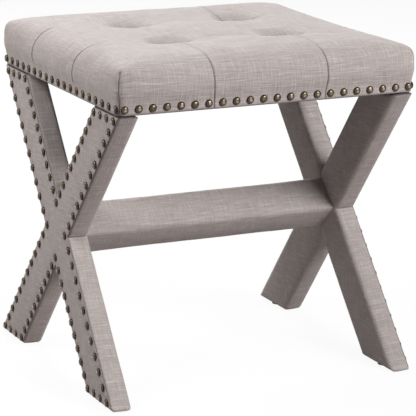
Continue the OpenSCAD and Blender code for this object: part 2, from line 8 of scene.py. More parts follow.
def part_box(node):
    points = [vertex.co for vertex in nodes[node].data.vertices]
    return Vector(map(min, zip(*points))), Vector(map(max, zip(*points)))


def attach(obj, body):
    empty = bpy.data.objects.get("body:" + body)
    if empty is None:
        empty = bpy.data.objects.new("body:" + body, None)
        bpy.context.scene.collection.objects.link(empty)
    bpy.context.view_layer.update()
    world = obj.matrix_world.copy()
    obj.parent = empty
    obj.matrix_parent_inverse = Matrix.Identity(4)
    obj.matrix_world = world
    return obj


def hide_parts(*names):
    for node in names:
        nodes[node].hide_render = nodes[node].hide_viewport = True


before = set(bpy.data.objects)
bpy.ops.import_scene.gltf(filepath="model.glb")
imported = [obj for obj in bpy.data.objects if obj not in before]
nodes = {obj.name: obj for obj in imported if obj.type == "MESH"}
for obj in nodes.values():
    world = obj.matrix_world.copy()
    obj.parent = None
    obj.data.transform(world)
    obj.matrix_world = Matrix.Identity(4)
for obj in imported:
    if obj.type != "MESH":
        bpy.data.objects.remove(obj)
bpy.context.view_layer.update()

mm = 0.001
print("frame loaded,", len(nodes), "pieces")


# Helpers for meshes

def smoothStep(low, high, x):
    share = np.clip((x - low) / (high - low), 0, 1)
    return share * share * (3 - 2 * share)


def addMesh(name, points, faces, uv=None, finish=None, smooth=True):
    mesh = bpy.data.meshes.new(name)
    mesh.from_pydata([tuple(p) for p in points], [], [tuple(int(i) for i in f) for f in faces])
    if uv is not None:
        layer = mesh.uv_layers.new(name="cloth")
        layer.data.foreach_set("uv", np.asarray(uv, np.float32).ravel())
    mesh.polygons.foreach_set("use_smooth", [smooth] * len(mesh.polygons))
    if finish:
        mesh.materials.append(finish)
    piece = bpy.data.objects.new(name, mesh)
    bpy.context.scene.collection.objects.link(piece)
    return piece


def addAttribute(piece, name, values):
    layer = piece.data.attributes.new(name, "FLOAT", "POINT")
    layer.data.foreach_set("value", np.asarray(values, np.float32))


def vertexNormals(points, faces):
    faces = np.asarray(faces)
    a, b, c, d = (points[faces[:, k]] for k in range(4))
    flat = np.cross(c - a, d - b)
    normals = np.zeros_like(points)
    for k in range(4):
        np.add.at(normals, faces[:, k], flat)
    return normals / np.maximum(np.linalg.norm(normals, axis=1, keepdims=True), 1e-12)


def softNoise(points, scale, seed):  # smooth noise from -1 to 1, the same on every run
    return np.array([noise.noise(Vector(p) * scale + Vector((seed, seed, seed))) for p in points])


def band(upper, lower):  # quads between two closed rings that run the same way round
    count = len(upper)
    return [(lower[k], lower[(k + 1) % count], upper[(k + 1) % count], upper[k]) for k in range(count)]


def turnOut(points, faces):  # flips all faces if the solid is inside out
    volume = 0.0
    for face in faces:
        for k in range(1, len(face) - 1):
            volume += np.dot(points[face[0]], np.cross(points[face[k]], points[face[k + 1]]))
    return faces if volume > 0 else [tuple(reversed(face)) for face in faces]


def place(piece, slotName, *replaced):
    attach(piece, "root")
    if replaced:
        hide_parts(*replaced)


# Materials: sockets take part in Python sums, and every other node comes from one method

class Channel:
    def __init__(self, finish, socket):
        self.finish = finish
        self.socket = socket

    def math(self, operation, *others):
        values = dict(enumerate((self, *others)))
        return self.finish.node("ShaderNodeMath", {"operation": operation}, values)[0]

    def __add__(self, other):
        return self.math("ADD", other)

    __radd__ = __add__

    def __mul__(self, other):
        return self.math("MULTIPLY", other)

    __rmul__ = __mul__

    def __sub__(self, other):
        return self.math("SUBTRACT", other)

    def __rsub__(self, other):
        return self.finish.node("ShaderNodeMath", {"operation": "SUBTRACT"}, {0: other, 1: self})[0]

    def between(self, low, high):  # 0 at low, 1 at high, smooth between
        sockets = {"Value": self, "From Min": low, "From Max": high}
        settings = {"interpolation_type": "SMOOTHSTEP"}
        return self.finish.node("ShaderNodeMapRange", settings, sockets)["Result"]


class Outputs:
    def __init__(self, finish, made):
        self.finish = finish
        self.made = made

    def __getitem__(self, key):
        return Channel(self.finish, self.made.outputs[key])


class Finish:
    def __init__(self, name, **sockets):
        self.material = bpy.data.materials.new(name)
        self.material.use_nodes = True
        self.tree = self.material.node_tree
        self.shader = self.tree.nodes["Principled BSDF"]
        self.set(**sockets)

    def set(self, **sockets):  # sheenWeight=0.3 sets or feeds the shader's socket "Sheen Weight"
        for name, value in sockets.items():
            words = "".join(" " + c if c.isupper() else c for c in name).title()
            self.feed(self.shader.inputs[words], value)

    def feed(self, socket, value):
        if isinstance(value, Channel):
            self.tree.links.new(value.socket, socket)
        else:
            socket.default_value = value

    def node(self, kind, settings=(), sockets=()):
        made = self.tree.nodes.new(kind)
        for name, value in dict(settings).items():
            setattr(made, name, value)
        for key, value in dict(sockets).items():
            self.feed(made.inputs[key], value)
        return Outputs(self, made)

    def objectPlace(self, scale=(1, 1, 1)):
        place = self.node("ShaderNodeTexCoord")["Object"]
        return self.node("ShaderNodeMapping", {}, {"Vector": place, "Scale": scale})["Vector"]

    def clothPlace(self, scale=(1, 1, 1), turn=0):
        place = self.node("ShaderNodeUVMap", {"uv_map": "cloth"})["UV"]
        sockets = {"Vector": place, "Scale": scale, "Rotation": (0, 0, turn)}
        return self.node("ShaderNodeMapping", {}, sockets)["Vector"]

    def attribute(self, name):
        return self.node("ShaderNodeAttribute", {"attribute_name": name})["Fac"]

    def noise(self, place, scale, detail=2, roughness=0.5):
        sockets = {"Vector": place, "Scale": scale, "Detail": detail, "Roughness": roughness}
        return self.node("ShaderNodeTexNoise", {}, sockets)["Fac"]

    def mix(self, share, first, second, blend="MIX"):
        settings = {"data_type": "RGBA", "blend_type": blend}
        return self.node("ShaderNodeMix", settings, {0: share, 6: first, 7: second})[2]

    def bump(self, height, distance, strength=1.0):
        sockets = {"Height": height, "Distance": distance, "Strength": strength}
        return self.node("ShaderNodeBump", {}, sockets)["Normal"]


def rgb(red, green, blue):  # a colour as seen on screen, 0 to 255, made linear for the shader
    def linear(value):
        share = value / 255
        return share / 12.92 if share <= 0.04045 else ((share + 0.055) / 1.055) ** 2.4
    return (linear(red), linear(green), linear(blue), 1.0)


linenLook = {
    "colour": rgb(187, 175, 172),  # warm grey yarn
    "pale": rgb(224, 216, 211),  # thick, bleached slubs
    "deep": rgb(140, 127, 124),  # gaps between yarns
    "crease": rgb(64, 56, 54),  # painted shade for seams, creases, gaps and tufts
    "threads": 1100.0,  # threads in a metre
    "slubLength": 26.0,  # changes along a slub, in a metre
    "slubWidth": 590.0,  # changes across it
    "fineLength": 60.0,
    "fineWidth": 1000.0,
    "weaveHeight": 0.12 * mm,
    "slubHeight": 0.16 * mm,
    "weaveTone": 0.22,  # how strongly each pattern tints the yarn's colour
    "streakTone": 0.45,
    "brightTone": 0.66,
    "dullTone": 0.27,
    "blotchTone": 0.12,
}


def makeLinen():
    look = linenLook
    finish = Finish("greigeLinen", roughness=0.92, sheenWeight=0.25, sheenRoughness=0.45)
    drift = finish.noise(finish.clothPlace(), 14, 3)
    long, wide, fine, thin = (look[key] for key in ("slubLength", "slubWidth", "fineLength", "fineWidth"))
    along = finish.noise(finish.clothPlace((long, wide, 1)), 1, 3, 0.6)
    across = finish.noise(finish.clothPlace((wide, long, 1)), 1, 3, 0.6)
    fineAlong = finish.noise(finish.clothPlace((fine, thin, 1)), 1, 2)
    fineAcross = finish.noise(finish.clothPlace((thin, fine, 1)), 1, 2)
    turned = finish.node("ShaderNodeSeparateXYZ", {}, {0: finish.clothPlace((look["threads"],) * 3)})
    warp = (turned["X"] * math.pi + drift * 3).math("SINE")
    weft = (turned["Y"] * math.pi + drift * 3).math("SINE")
    weave = warp * weft * 0.5 + 0.5
    bright = along.between(0.53, 0.68) + across.between(0.53, 0.68) * 0.7
    dull = along.between(0.48, 0.34) + across.between(0.48, 0.34) * 0.6
    streak = fineAlong.between(0.35, 0.68) * 0.5 + fineAcross.between(0.35, 0.68) * 0.5
    colour = finish.mix(weave * look["weaveTone"], look["colour"], look["deep"])
    colour = finish.mix(streak * look["streakTone"], colour, look["pale"])
    colour = finish.mix(bright * look["brightTone"], colour, look["pale"])
    colour = finish.mix(dull * look["dullTone"], colour, look["deep"])
    blotch = finish.noise(finish.objectPlace(), 7, 3).between(0.35, 0.75)
    colour = finish.mix(blotch * look["blotchTone"], colour, look["deep"])
    # Painted shade in seams, crotch folds, tufts, gaps and round nails, from each piece's own attribute
    colour = finish.mix(finish.attribute("seam"), colour, look["crease"])
    height = weave * look["weaveHeight"] + (bright - dull + streak) * look["slubHeight"]
    finish.set(baseColor=colour, normal=finish.bump(height, 1.0))
    return finish.material


bronzeLook = {
    "rim": rgb(36, 27, 21),
    "dome": rgb(84, 72, 60),
    "worn": rgb(196, 187, 172),
    "wear": 0.75,  # how much of the top is rubbed bright: wear, with a painted highlight
    "roughness": 0.24,  # at the rim
    "pitDepth": 0.12 * mm,
}


def makeBronze():
    look = bronzeLook
    finish = Finish("antiqueBronze", metallic=1.0)
    height = finish.attribute("rise")  # 0 at the rim of a head and 1 at its top
    pits = finish.noise(finish.objectPlace(), 900, 3)
    cloud = finish.noise(finish.objectPlace(), 160, 2)
    # Darker towards the rim: patina, with painted shade where the head meets the cloth
    colour = finish.mix(height.between(0.1, 0.75), look["rim"], look["dome"])
    # Rubbed wear on each head's top, painted bright as a highlight as well
    wornHighlightMask = height.between(0.86, 1.0) * cloud.between(0.3, 0.6)
    colour = finish.mix(wornHighlightMask * look["wear"], colour, look["worn"])
    finish.set(baseColor=colour, roughness=look["roughness"] - height * 0.1 + cloud * 0.05,
               normal=finish.bump(pits, look["pitDepth"]))
    return finish.material


woodLook = {
    "across": 14.0,  # changes of the grain in a metre, across it
    "lengthwise": 1.2,  # and along it
    "rings": 34,
    "poreScale": 22,  # times finer than the grain
    "poreTone": 0.4,
    "relief": 0.2 * mm,
}


def makeWood(name, pale, dark, axis):
    look = woodLook
    finish = Finish(name, roughness=0.62)
    scale = [look["across"]] * 3
    scale[axis] = look["lengthwise"]
    grain = finish.noise(finish.objectPlace(scale), 3, 6, 0.6)
    rings = (grain * look["rings"]).math("SINE") * 0.5 + 0.5
    pores = finish.noise(finish.objectPlace([s * look["poreScale"] for s in scale]), 3, 2)
    colour = finish.mix(rings, pale, dark)
    colour = finish.mix(pores.between(0.55, 0.8) * look["poreTone"], colour, dark)
    finish.set(baseColor=colour, normal=finish.bump(rings * 0.5 + pores, look["relief"]))
    return finish.material


hiddenLook = {  # of what the cover and the underside hide
    "foamCells": 700,
    "foamRelief": 0.4 * mm,
    "fibreRelief": 1.2 * mm,
    "feltDots": 2600,
    "feltRelief": 0.15 * mm,
    "spangle": 260,
    "spangleRelief": 0.05 * mm,
    "twineLay": 4200,
    "twineRelief": 0.2 * mm,
    "scuffRelief": 0.1 * mm,
}


def makeFoam():
    finish = Finish("cushionFoam", roughness=0.95)
    sockets = {"Vector": finish.objectPlace(), "Scale": hiddenLook["foamCells"]}
    cells = finish.node("ShaderNodeTexVoronoi", {}, sockets)["Distance"]
    colour = finish.mix(cells, rgb(196, 178, 120), rgb(240, 229, 182))
    finish.set(baseColor=colour, normal=finish.bump(cells, hiddenLook["foamRelief"]))
    return finish.material


def makeWadding():
    finish = Finish("fibreWadding", roughness=1.0, sheenWeight=0.2)
    fibres = finish.noise(finish.objectPlace((60, 60, 60)), 9, 8, 0.75)
    colour = finish.mix(fibres.between(0.3, 0.7), rgb(214, 211, 203), rgb(246, 244, 238))
    finish.set(baseColor=colour, normal=finish.bump(fibres, hiddenLook["fibreRelief"]))
    return finish.material


def makeDustCloth():
    finish = Finish("blackDustCloth", roughness=0.85)
    place = finish.node("ShaderNodeSeparateXYZ", {}, {0: finish.objectPlace()})
    dots = hiddenLook["feltDots"]
    bonds = (place["X"] * dots).math("SINE") * (place["Y"] * dots).math("SINE")  # pressed into the felt
    fuzz = finish.noise(finish.objectPlace(), 420, 4)
    colour = finish.mix(fuzz.between(0.3, 0.75), rgb(18, 18, 19), rgb(44, 43, 44))
    finish.set(baseColor=colour, normal=finish.bump(bonds * 0.6 + fuzz, hiddenLook["feltRelief"]))
    return finish.material


def makeSteel():
    finish = Finish("zincSteel", metallic=1.0)
    spangle = finish.noise(finish.objectPlace(), hiddenLook["spangle"], 3)
    finish.set(baseColor=finish.mix(spangle, rgb(150, 151, 155), rgb(205, 206, 208)),
               roughness=0.3 + spangle * 0.25, normal=finish.bump(spangle, hiddenLook["spangleRelief"]))
    return finish.material


def makeTwine():
    finish = Finish("waxedTwine", roughness=0.8)
    place = finish.node("ShaderNodeSeparateXYZ", {}, {0: finish.objectPlace()})
    lay = ((place["Z"] + place["X"] + place["Y"]) * hiddenLook["twineLay"]).math("SINE") * 0.5 + 0.5
    finish.set(baseColor=finish.mix(lay, rgb(176, 158, 120), rgb(228, 215, 184)),
               normal=finish.bump(lay, hiddenLook["twineRelief"]))
    return finish.material


def makeGlidePlastic():
    finish = Finish("glidePlastic")
    scuffs = finish.noise(finish.objectPlace((300, 40, 300)), 2, 4)
    finish.set(baseColor=finish.mix(scuffs.between(0.5, 0.8), rgb(22, 22, 23), rgb(58, 57, 56)),
               roughness=0.42 + scuffs * 0.3, normal=finish.bump(scuffs, hiddenLook["scuffRelief"]))
    return finish.material


linen = makeLinen()
bronze = makeBronze()
foam = makeFoam()
wadding = makeWadding()
dustCloth = makeDustCloth()
steel = makeSteel()
twine = makeTwine()
glidePlastic = makeGlidePlastic()
pinePale, pineDark = rgb(222, 190, 142), rgb(176, 132, 84)
pineAlongX = makeWood("pineAlongX", pinePale, pineDark, 0)
pineAlongY = makeWood("pineAlongY", pinePale, pineDark, 1)
pineUpright = makeWood("pineUpright", pinePale, pineDark, 2)
plywood = makeWood("plywood", rgb(214, 186, 146), rgb(178, 146, 104), 0)
print("materials made")


# Seat: crowned form, four blind tufts, pleats over the edge and a seam up each corner

seatLow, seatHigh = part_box("seat_cover")
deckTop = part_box("seat_deck")[1].z
seat = {
    "edgeRadius": 28 * mm,
    "cornerRadius": 10 * mm,
    "crown": 3 * mm,
    "crownRoom": 4 * mm,  # between the rolled edge's top and the CAD cover's highest point
    "swell": 4 * mm,  # at the shoulder
    "cornerHold": 0.35,  # share of the swell that a corner's seam holds back
    "cornerHoldReach": 15 * mm,
    "squareness": 1.6,  # how much squarer the rolled edge gets towards a corner
    "squareReach": 75 * mm,
    "tuftPitch": (168 * mm, 137 * mm),
    "tuftDepth": 32 * mm,
    "tuftRadius": 48 * mm,
    "tuftNarrowing": 1.35,  # of a tuft from left to right
    "tuftTint": 0.26,  # painted shade at the bottom of a tuft: how much darker it gets
    "tuftPower": 1.6,
    "tuftSquareness": 2.5,  # 2 makes a round dimple
    "lipSharpness": 2.4,  # how much steeper a tuft falls on its front side
    "lipPower": 1.1,  # and how crisply it breaks from the top there
    "lipBlend": 5 * mm,
    "valleyDepth": 1.5 * mm,
    "valleyWidth": 24 * mm,
    "coverThickness": 1.6 * mm,
    "coverStep": 3.4 * mm,  # of the cover's grid
    "levelStep": 2.4 * mm,
    "hemWidth": 24 * mm,
    "pleatDepth": 1.3 * mm,
    "pleatLift": 0.5 * mm,  # the lap of a pleat stands proud on one side
    "seamWidth": 0.9 * mm,
    "cornerSeamTop": 6 * mm,  # how far a corner seam runs in over the top
    "notchSize": 1.8 * mm,  # the pinch where it ends
    "nailRise": 8.5 * mm,
    "nailDent": 0.6 * mm,
    "nailDentReach": 6 * mm,
    "looseness": 0.35 * mm,  # of the cloth, in broad waves
    "rumple": 0.18 * mm,  # and in small ones
    "pleatStart": (8 * mm, 30 * mm),  # outside its tuft, a pleat grows from nothing to full
    "pleatLow": (14 * mm, 26 * mm),  # heights between which it fades towards the nails
    "lapReach": 5 * mm,
    "cornerSeamWidth": 1.1 * mm,
    "seamShade": 0.55,
    "edgeShade": 0.9,  # painted shadow line where the cloth turns in under the rails, over the gap above the leg tops
}
halfX, halfY = seatHigh.x, seatHigh.y
bodyX, bodyY = halfX - seat["swell"], halfY - seat["swell"]
tuftX, tuftY = (pitch / 2 for pitch in seat["tuftPitch"])
shoulder = seatHigh.z - seat["crownRoom"] - seat["edgeRadius"]
# Height over the underside and outset of the side, from the hem up
sideProfile = [(0, 0), (12 * mm, 0.3 * mm), (20 * mm, 1.8 * mm), (28 * mm, 3.8 * mm), (34 * mm, 4.4 * mm),
               (38 * mm, 4 * mm)]
# For the pleat at the low and the high end of each side: how far it wanders from its tuft's line by the rim
pleatDrift = {"front": (0, 0), "back": (-5 * mm, -14 * mm), "left": (8 * mm, 20 * mm),
              "right": (-6 * mm, 5 * mm)}
# and how plainly it shows on the flat top, and down by the nails
pleatOnTop = {"front": (0.45, 0.4), "back": (0.05, 0.8), "left": (0.08, 0.08), "right": (0.1, 0.1)}
pleatByNails = {"front": 1.0, "back": 1.0, "left": 0.15, "right": 0.15}
creaseOffsets = [0, 0.7 * mm, 1.4 * mm, 2.4 * mm, 4 * mm, 6.5 * mm]


def edgeRise(x, y):  # 0 on the rim and 1 on the flat top
    inX, inY = halfX - np.abs(x), halfY - np.abs(y)
    power = 2 + seat["squareness"] * np.exp(-(np.hypot(inX, inY) / seat["squareReach"]) ** 2)
    share = 1
    for inward in (inX, inY):
        share = share * (1 - (1 - np.clip(inward / seat["edgeRadius"], 0, 1)) ** power)
    return share ** (1 / power)


def gridLines(half, tuft, spacing, creased):
    flat = half - seat["edgeRadius"]
    offsets = creaseOffsets if creased else [0]
    around = sorted({tuft + side * offset for offset in offsets for side in (-1, 1)})
    inner = np.linspace(0, around[0], max(2, round(around[0] / spacing) + 1))[:-1]
    outer = np.linspace(around[-1], flat, max(2, round((flat - around[-1]) / spacing) + 1))[1:]
    angles = np.linspace(0, math.pi / 2, round(seat["edgeRadius"] * 1.57 / spacing) + 2)[1:]
    lines = np.concatenate([inner, around, outer, flat + seat["edgeRadius"] * np.sin(angles)])
    return np.concatenate([-lines[:0:-1], lines])


def tuftDip(x, y):
    dip = np.zeros_like(x)
    for tx in (-tuftX, tuftX):
        for ty in (-tuftY, tuftY):
            dy = y - ty
            behind = smoothStep(-seat["lipBlend"], seat["lipBlend"], dy)
            dy = np.where(dy < 0, dy * seat["lipSharpness"], dy)
            power = seat["tuftSquareness"]
            dx = (x - tx) * seat["tuftNarrowing"]
            away = (np.abs(dx) ** power + np.abs(dy) ** power) ** (1 / power)
            reach = np.clip(1 - away / seat["tuftRadius"], 0, 1)
            fall = seat["lipPower"] + (seat["tuftPower"] - seat["lipPower"]) * behind
            dip = np.maximum(dip, seat["tuftDepth"] * reach ** fall)
    return dip


def valleyDip(x, y):
    def hollow(distance):
        return np.clip(1 - np.abs(distance) / seat["valleyWidth"], 0, 1) ** 2
    between = np.maximum(hollow(np.abs(x) - tuftX) * (np.abs(y) < tuftY),
                         hollow(np.abs(y) - tuftY) * (np.abs(x) < tuftX))
    return seat["valleyDepth"] * between


def topHeight(x, y):
    edge = edgeRise(x, y)
    crown = seat["crown"] * (1 - (x / halfX) ** 2) * (1 - (y / halfY) ** 2)
    return shoulder + seat["edgeRadius"] * edge + crown - edge * np.maximum(tuftDip(x, y), valleyDip(x, y))


def wander(x, y):  # moves the pleats' lines sideways, more towards the rim
    fall, settled = 70 * mm, 50 * mm
    movedX, movedY = x.copy(), y.copy()
    for side, sign in (("front", -1), ("back", 1)):
        share = smoothStep(tuftY, tuftY + settled, sign * y)
        for pleat, tx in zip(pleatDrift[side], (-tuftX, tuftX)):
            movedX = movedX + pleat * share * np.clip(1 - np.abs(x - tx) / fall, 0, 1) ** 2
    for side, sign in (("left", -1), ("right", 1)):
        share = smoothStep(tuftX, tuftX + settled, sign * x)
        for pleat, ty in zip(pleatDrift[side], (-tuftY, tuftY)):
            movedY = movedY + pleat * share * np.clip(1 - np.abs(y - ty) / fall, 0, 1) ** 2
    return movedX, movedY


def roundCorner(x, y, hx, hy, radius):
    vx, vy = np.abs(x) - hx + radius, np.abs(y) - hy + radius
    inside = np.minimum(vx, vy) <= 0
    share = np.maximum(vx, vy) / np.maximum(np.hypot(vx, vy), 1e-9)
    rx = np.where(inside, x, np.sign(x) * (hx - radius + vx * share))
    ry = np.where(inside, y, np.sign(y) * (hy - radius + vy * share))
    return rx, ry


def unroll(value, half):  # length over the rolled edge, from the middle
    flat, radius = half - seat["edgeRadius"], seat["edgeRadius"]
    over = np.clip((np.abs(value) - flat) / radius, 0, 1)
    return np.sign(value) * np.where(np.abs(value) <= flat, np.abs(value), flat + radius * np.arcsin(over))


def cornerPull(x, y):  # share of the swell that the nearest corner's seam holds back
    away = np.maximum(halfX - np.abs(x), halfY - np.abs(y))
    return seat["cornerHold"] * np.exp(-(away / seat["cornerHoldReach"]) ** 2)


def coverGrid(spacing, levelStep, creased):
    xs = gridLines(halfX, tuftX, spacing, creased)
    ys = gridLines(halfY, tuftY, spacing, creased)
    nx, ny = len(xs), len(ys)
    gridX, gridY = (a.ravel() for a in np.meshgrid(xs, ys))
    rim = [(i, 0) for i in range(nx - 1)] + [(nx - 1, j) for j in range(ny - 1)]
    rim += [(i, ny - 1) for i in range(nx - 1, 0, -1)] + [(0, j) for j in range(ny - 1, 0, -1)]
    rimX, rimY = xs[[i for i, j in rim]], ys[[j for i, j in rim]]
    plainX, plainY = wander(gridX, gridY)
    heldIn = seat["swell"] * cornerPull(gridX, gridY)
    topX, topY = roundCorner(plainX * (1 - heldIn / halfX), plainY * (1 - heldIn / halfY),
                             halfX - heldIn, halfY - heldIn, seat["cornerRadius"])
    points = [np.stack([topX, topY, topHeight(gridX, gridY)], 1)]
    grid = [np.stack([gridX, gridY], 1)]
    drops = [np.zeros(len(gridX))]
    rings = [[j * nx + i for i, j in rim]]
    heights, outsets = zip(*sideProfile)
    steps = max(4, round((shoulder - seatLow.z) / levelStep))
    levels = [(z, float(np.interp(z, heights, outsets)))
              for z in np.linspace(shoulder - seatLow.z, 1.5 * mm, steps)[1:]]
    levels += [(0.45 * mm, -0.4 * mm), (0, -1.5 * mm), (0, -3.5 * mm), (0, -0.5 * seat["hemWidth"]),
               (0, -seat["hemWidth"])]
    rimPlainX, rimPlainY = wander(rimX, rimY)
    count = nx * ny
    pull = cornerPull(rimX, rimY)
    for z, outset in levels:
        if outset > 0:
            hx, hy = (half + outset * (1 - pull) for half in (bodyX, bodyY))
        else:
            hx, hy = bodyX + outset, bodyY + outset
        ringX, ringY = roundCorner(rimPlainX / halfX * hx, rimPlainY / halfY * hy, hx, hy,
                                   seat["cornerRadius"])
        points.append(np.stack([ringX, ringY, np.full(len(ringX), seatLow.z + z)], 1))
        grid.append(np.stack([rimX, rimY], 1))
        drops.append(np.full(len(ringX), shoulder - seatLow.z - z + max(0, -outset)))
        rings.append(list(range(count, count + len(rim))))
        count += len(rim)
    faces = [(j * nx + i, j * nx + i + 1, (j + 1) * nx + i + 1, (j + 1) * nx + i)
             for j in range(ny - 1) for i in range(nx - 1)]
    for upper, lower in zip(rings, rings[1:]):
        faces += band(upper, lower)
    return {"points": np.concatenate(points), "faces": faces, "grid": np.concatenate(grid),
            "drop": np.concatenate(drops), "rings": rings}


simulation = {
    "spacing": 6 * mm,
    "pressure": 4.0,
    "frames": 20,
    "cap": 5 * mm,  # how far the pad may swell
    "tuftHold": 14 * mm,
    "cornerHold": 12 * mm,
    "heldBelow": 20 * mm,  # the band that the nails hold
    "quality": 6,
    "mass": 0.3,
    "stretch": 18,
    "bend": 0.6,
    "carry": 5 * mm,  # reach of each moved point on the finer cover
}


def swellSeat():  # cloth under pressure, held at the nails and at the tufts
    form = coverGrid(simulation["spacing"], simulation["spacing"], False)
    points, last = form["points"], form["rings"][-1]
    middle = len(points)
    closed = np.vstack([points, [0, 0, seatLow.z]])
    faces = form["faces"] + [(middle, last[(k + 1) % len(last)], last[k]) for k in range(len(last))]
    pad = addMesh("seatSimulation", closed, faces)
    toTuft = np.hypot(np.abs(closed[:, 0]) - tuftX, np.abs(closed[:, 1]) - tuftY)
    toCorner = np.maximum(halfX - np.abs(closed[:, 0]), halfY - np.abs(closed[:, 1]))
    held = (closed[:, 2] < seatLow.z + simulation["heldBelow"]) | (toTuft < simulation["tuftHold"])
    held |= toCorner < simulation["cornerHold"]
    group = pad.vertex_groups.new(name="held")
    group.add([int(i) for i in np.flatnonzero(held)], 1.0, "REPLACE")
    cloth = pad.modifiers.new("cloth", "CLOTH")
    settings = cloth.settings
    settings.quality = simulation["quality"]
    settings.mass = simulation["mass"]
    settings.tension_stiffness = settings.compression_stiffness = simulation["stretch"]
    settings.bending_stiffness = simulation["bend"]
    settings.use_pressure = True
    settings.uniform_pressure_force = simulation["pressure"]
    settings.vertex_group_mass = "held"
    settings.effector_weights.gravity = 0
    cloth.point_cache.frame_end = simulation["frames"]
    cloth.collision_settings.use_collision = False
    scene = bpy.context.scene
    for step in range(1, simulation["frames"] + 1):
        scene.frame_set(step)
    swollen = pad.evaluated_get(bpy.context.evaluated_depsgraph_get()).data
    moved = np.zeros(len(closed) * 3, np.float32)
    swollen.vertices.foreach_get("co", moved)
    moved = moved.reshape(-1, 3)[:middle] - points
    length = np.linalg.norm(moved, axis=1, keepdims=True)
    moved *= np.minimum(1, simulation["cap"] / np.maximum(length, 1e-9))
    print("seat simulated, largest swell", round(float(length.max()) / mm, 1), "mm")
    bpy.data.objects.remove(pad)
    scene.frame_set(1)
    return points, moved


def spread(points, moves, targets, reach):  # carries moves over to other points, smoothly
    tree = kdtree.KDTree(len(points))
    for index, point in enumerate(points):
        tree.insert(point, index)
    tree.balance()
    result = np.zeros_like(targets)
    for row, target in enumerate(targets):
        near = tree.find_n(target, 12)
        weights = np.array([math.exp(-(distance / reach) ** 2) for _, _, distance in near]) + 1e-9
        result[row] = weights @ moves[[index for _, index, _ in near]] / weights.sum()
    return result


def seamMarks(form):  # how deep each point lies in a seam, and how much it is lifted by a pleat's lap
    gx, gy = form["grid"][:, 0], form["grid"][:, 1]
    height = form["points"][:, 2] - seatLow.z
    seam, lift = np.zeros(len(gx)), np.zeros(len(gx))
    tufts, halves = (tuftX, tuftY), (halfX, halfY)
    for side, across, sign in (("front", 1, -1), ("back", 1, 1), ("left", 0, -1), ("right", 0, 1)):
        out = sign * (gx, gy)[across]
        beyond = smoothStep(*seat["pleatStart"], out - tufts[across])
        flatEnd = halves[across] - seat["edgeRadius"]
        rolled = smoothStep(flatEnd - 12 * mm, flatEnd + 14 * mm, out)
        byNails = smoothStep(*seat["pleatLow"], height)
        byNails = byNails + (1 - byNails) * pleatByNails[side]
        for onTop, tuft in zip(pleatOnTop[side], (-tufts[1 - across], tufts[1 - across])):
            offset = (gx, gy)[1 - across] - tuft
            shown = beyond * (onTop + (1 - onTop) * rolled) * byNails
            seam = np.maximum(seam, shown * np.exp(-(offset / seat["seamWidth"]) ** 2))
            lift += shown * np.exp(-np.clip(offset, 0, None) / seat["lapReach"]) * (offset > 0)
    inX, inY = halfX - np.abs(gx), halfY - np.abs(gy)
    end = seat["cornerSeamTop"]
    corner = np.exp(-((inX - inY) / seat["cornerSeamWidth"]) ** 2)
    corner = corner * smoothStep(end, 0.8 * end, np.maximum(inX, inY))
    notch = np.exp(-(np.hypot(inX - 0.8 * end, inY - 0.8 * end) / seat["notchSize"]) ** 2)
    return np.maximum(np.maximum(seam, corner), 1.5 * notch), lift


def nailDents(points, places, dent, reach):  # how far nails press the cloth in
    tree = kdtree.KDTree(len(places))
    for index, nail in enumerate(places):
        tree.insert(nail, index)
    tree.balance()
    distances = np.array([tree.find(point)[2] for point in points])
    return dent * np.exp(-(distances / reach) ** 2)


seatRows = {"front": 22, "side": 19, "end": 8.5 * mm}


def seatNailPlaces():
    rows = {}
    z = seatLow.z + seat["nailRise"]
    for name, side in (("front_seat_nails", -1), ("back_seat_nails", 1)):
        run = np.linspace(-1, 1, seatRows["front"]) * (bodyX - seatRows["end"])
        rows[name] = [(Vector((x, side * bodyY, z)), Vector((0, side, 0))) for x in run]
    for name, side in (("left_seat_nails", -1), ("right_seat_nails", 1)):
        run = np.linspace(-1, 1, seatRows["side"]) * (bodyY - seatRows["end"])
        rows[name] = [(Vector((side * bodyX, y, z)), Vector((side, 0, 0))) for y in run]
    return rows


seatNails = seatNailPlaces()


def shell(outer, inner, faces, edge):  # closes an outer and an inner skin along one open edge
    count = len(outer)
    back = [tuple(count + i for i in reversed(face)) for face in faces]
    rim = [(edge[(k + 1) % len(edge)], edge[k], count + edge[k], count + edge[(k + 1) % len(edge)])
           for k in range(len(edge))]
    return np.vstack([outer, inner]), list(faces) + back + rim


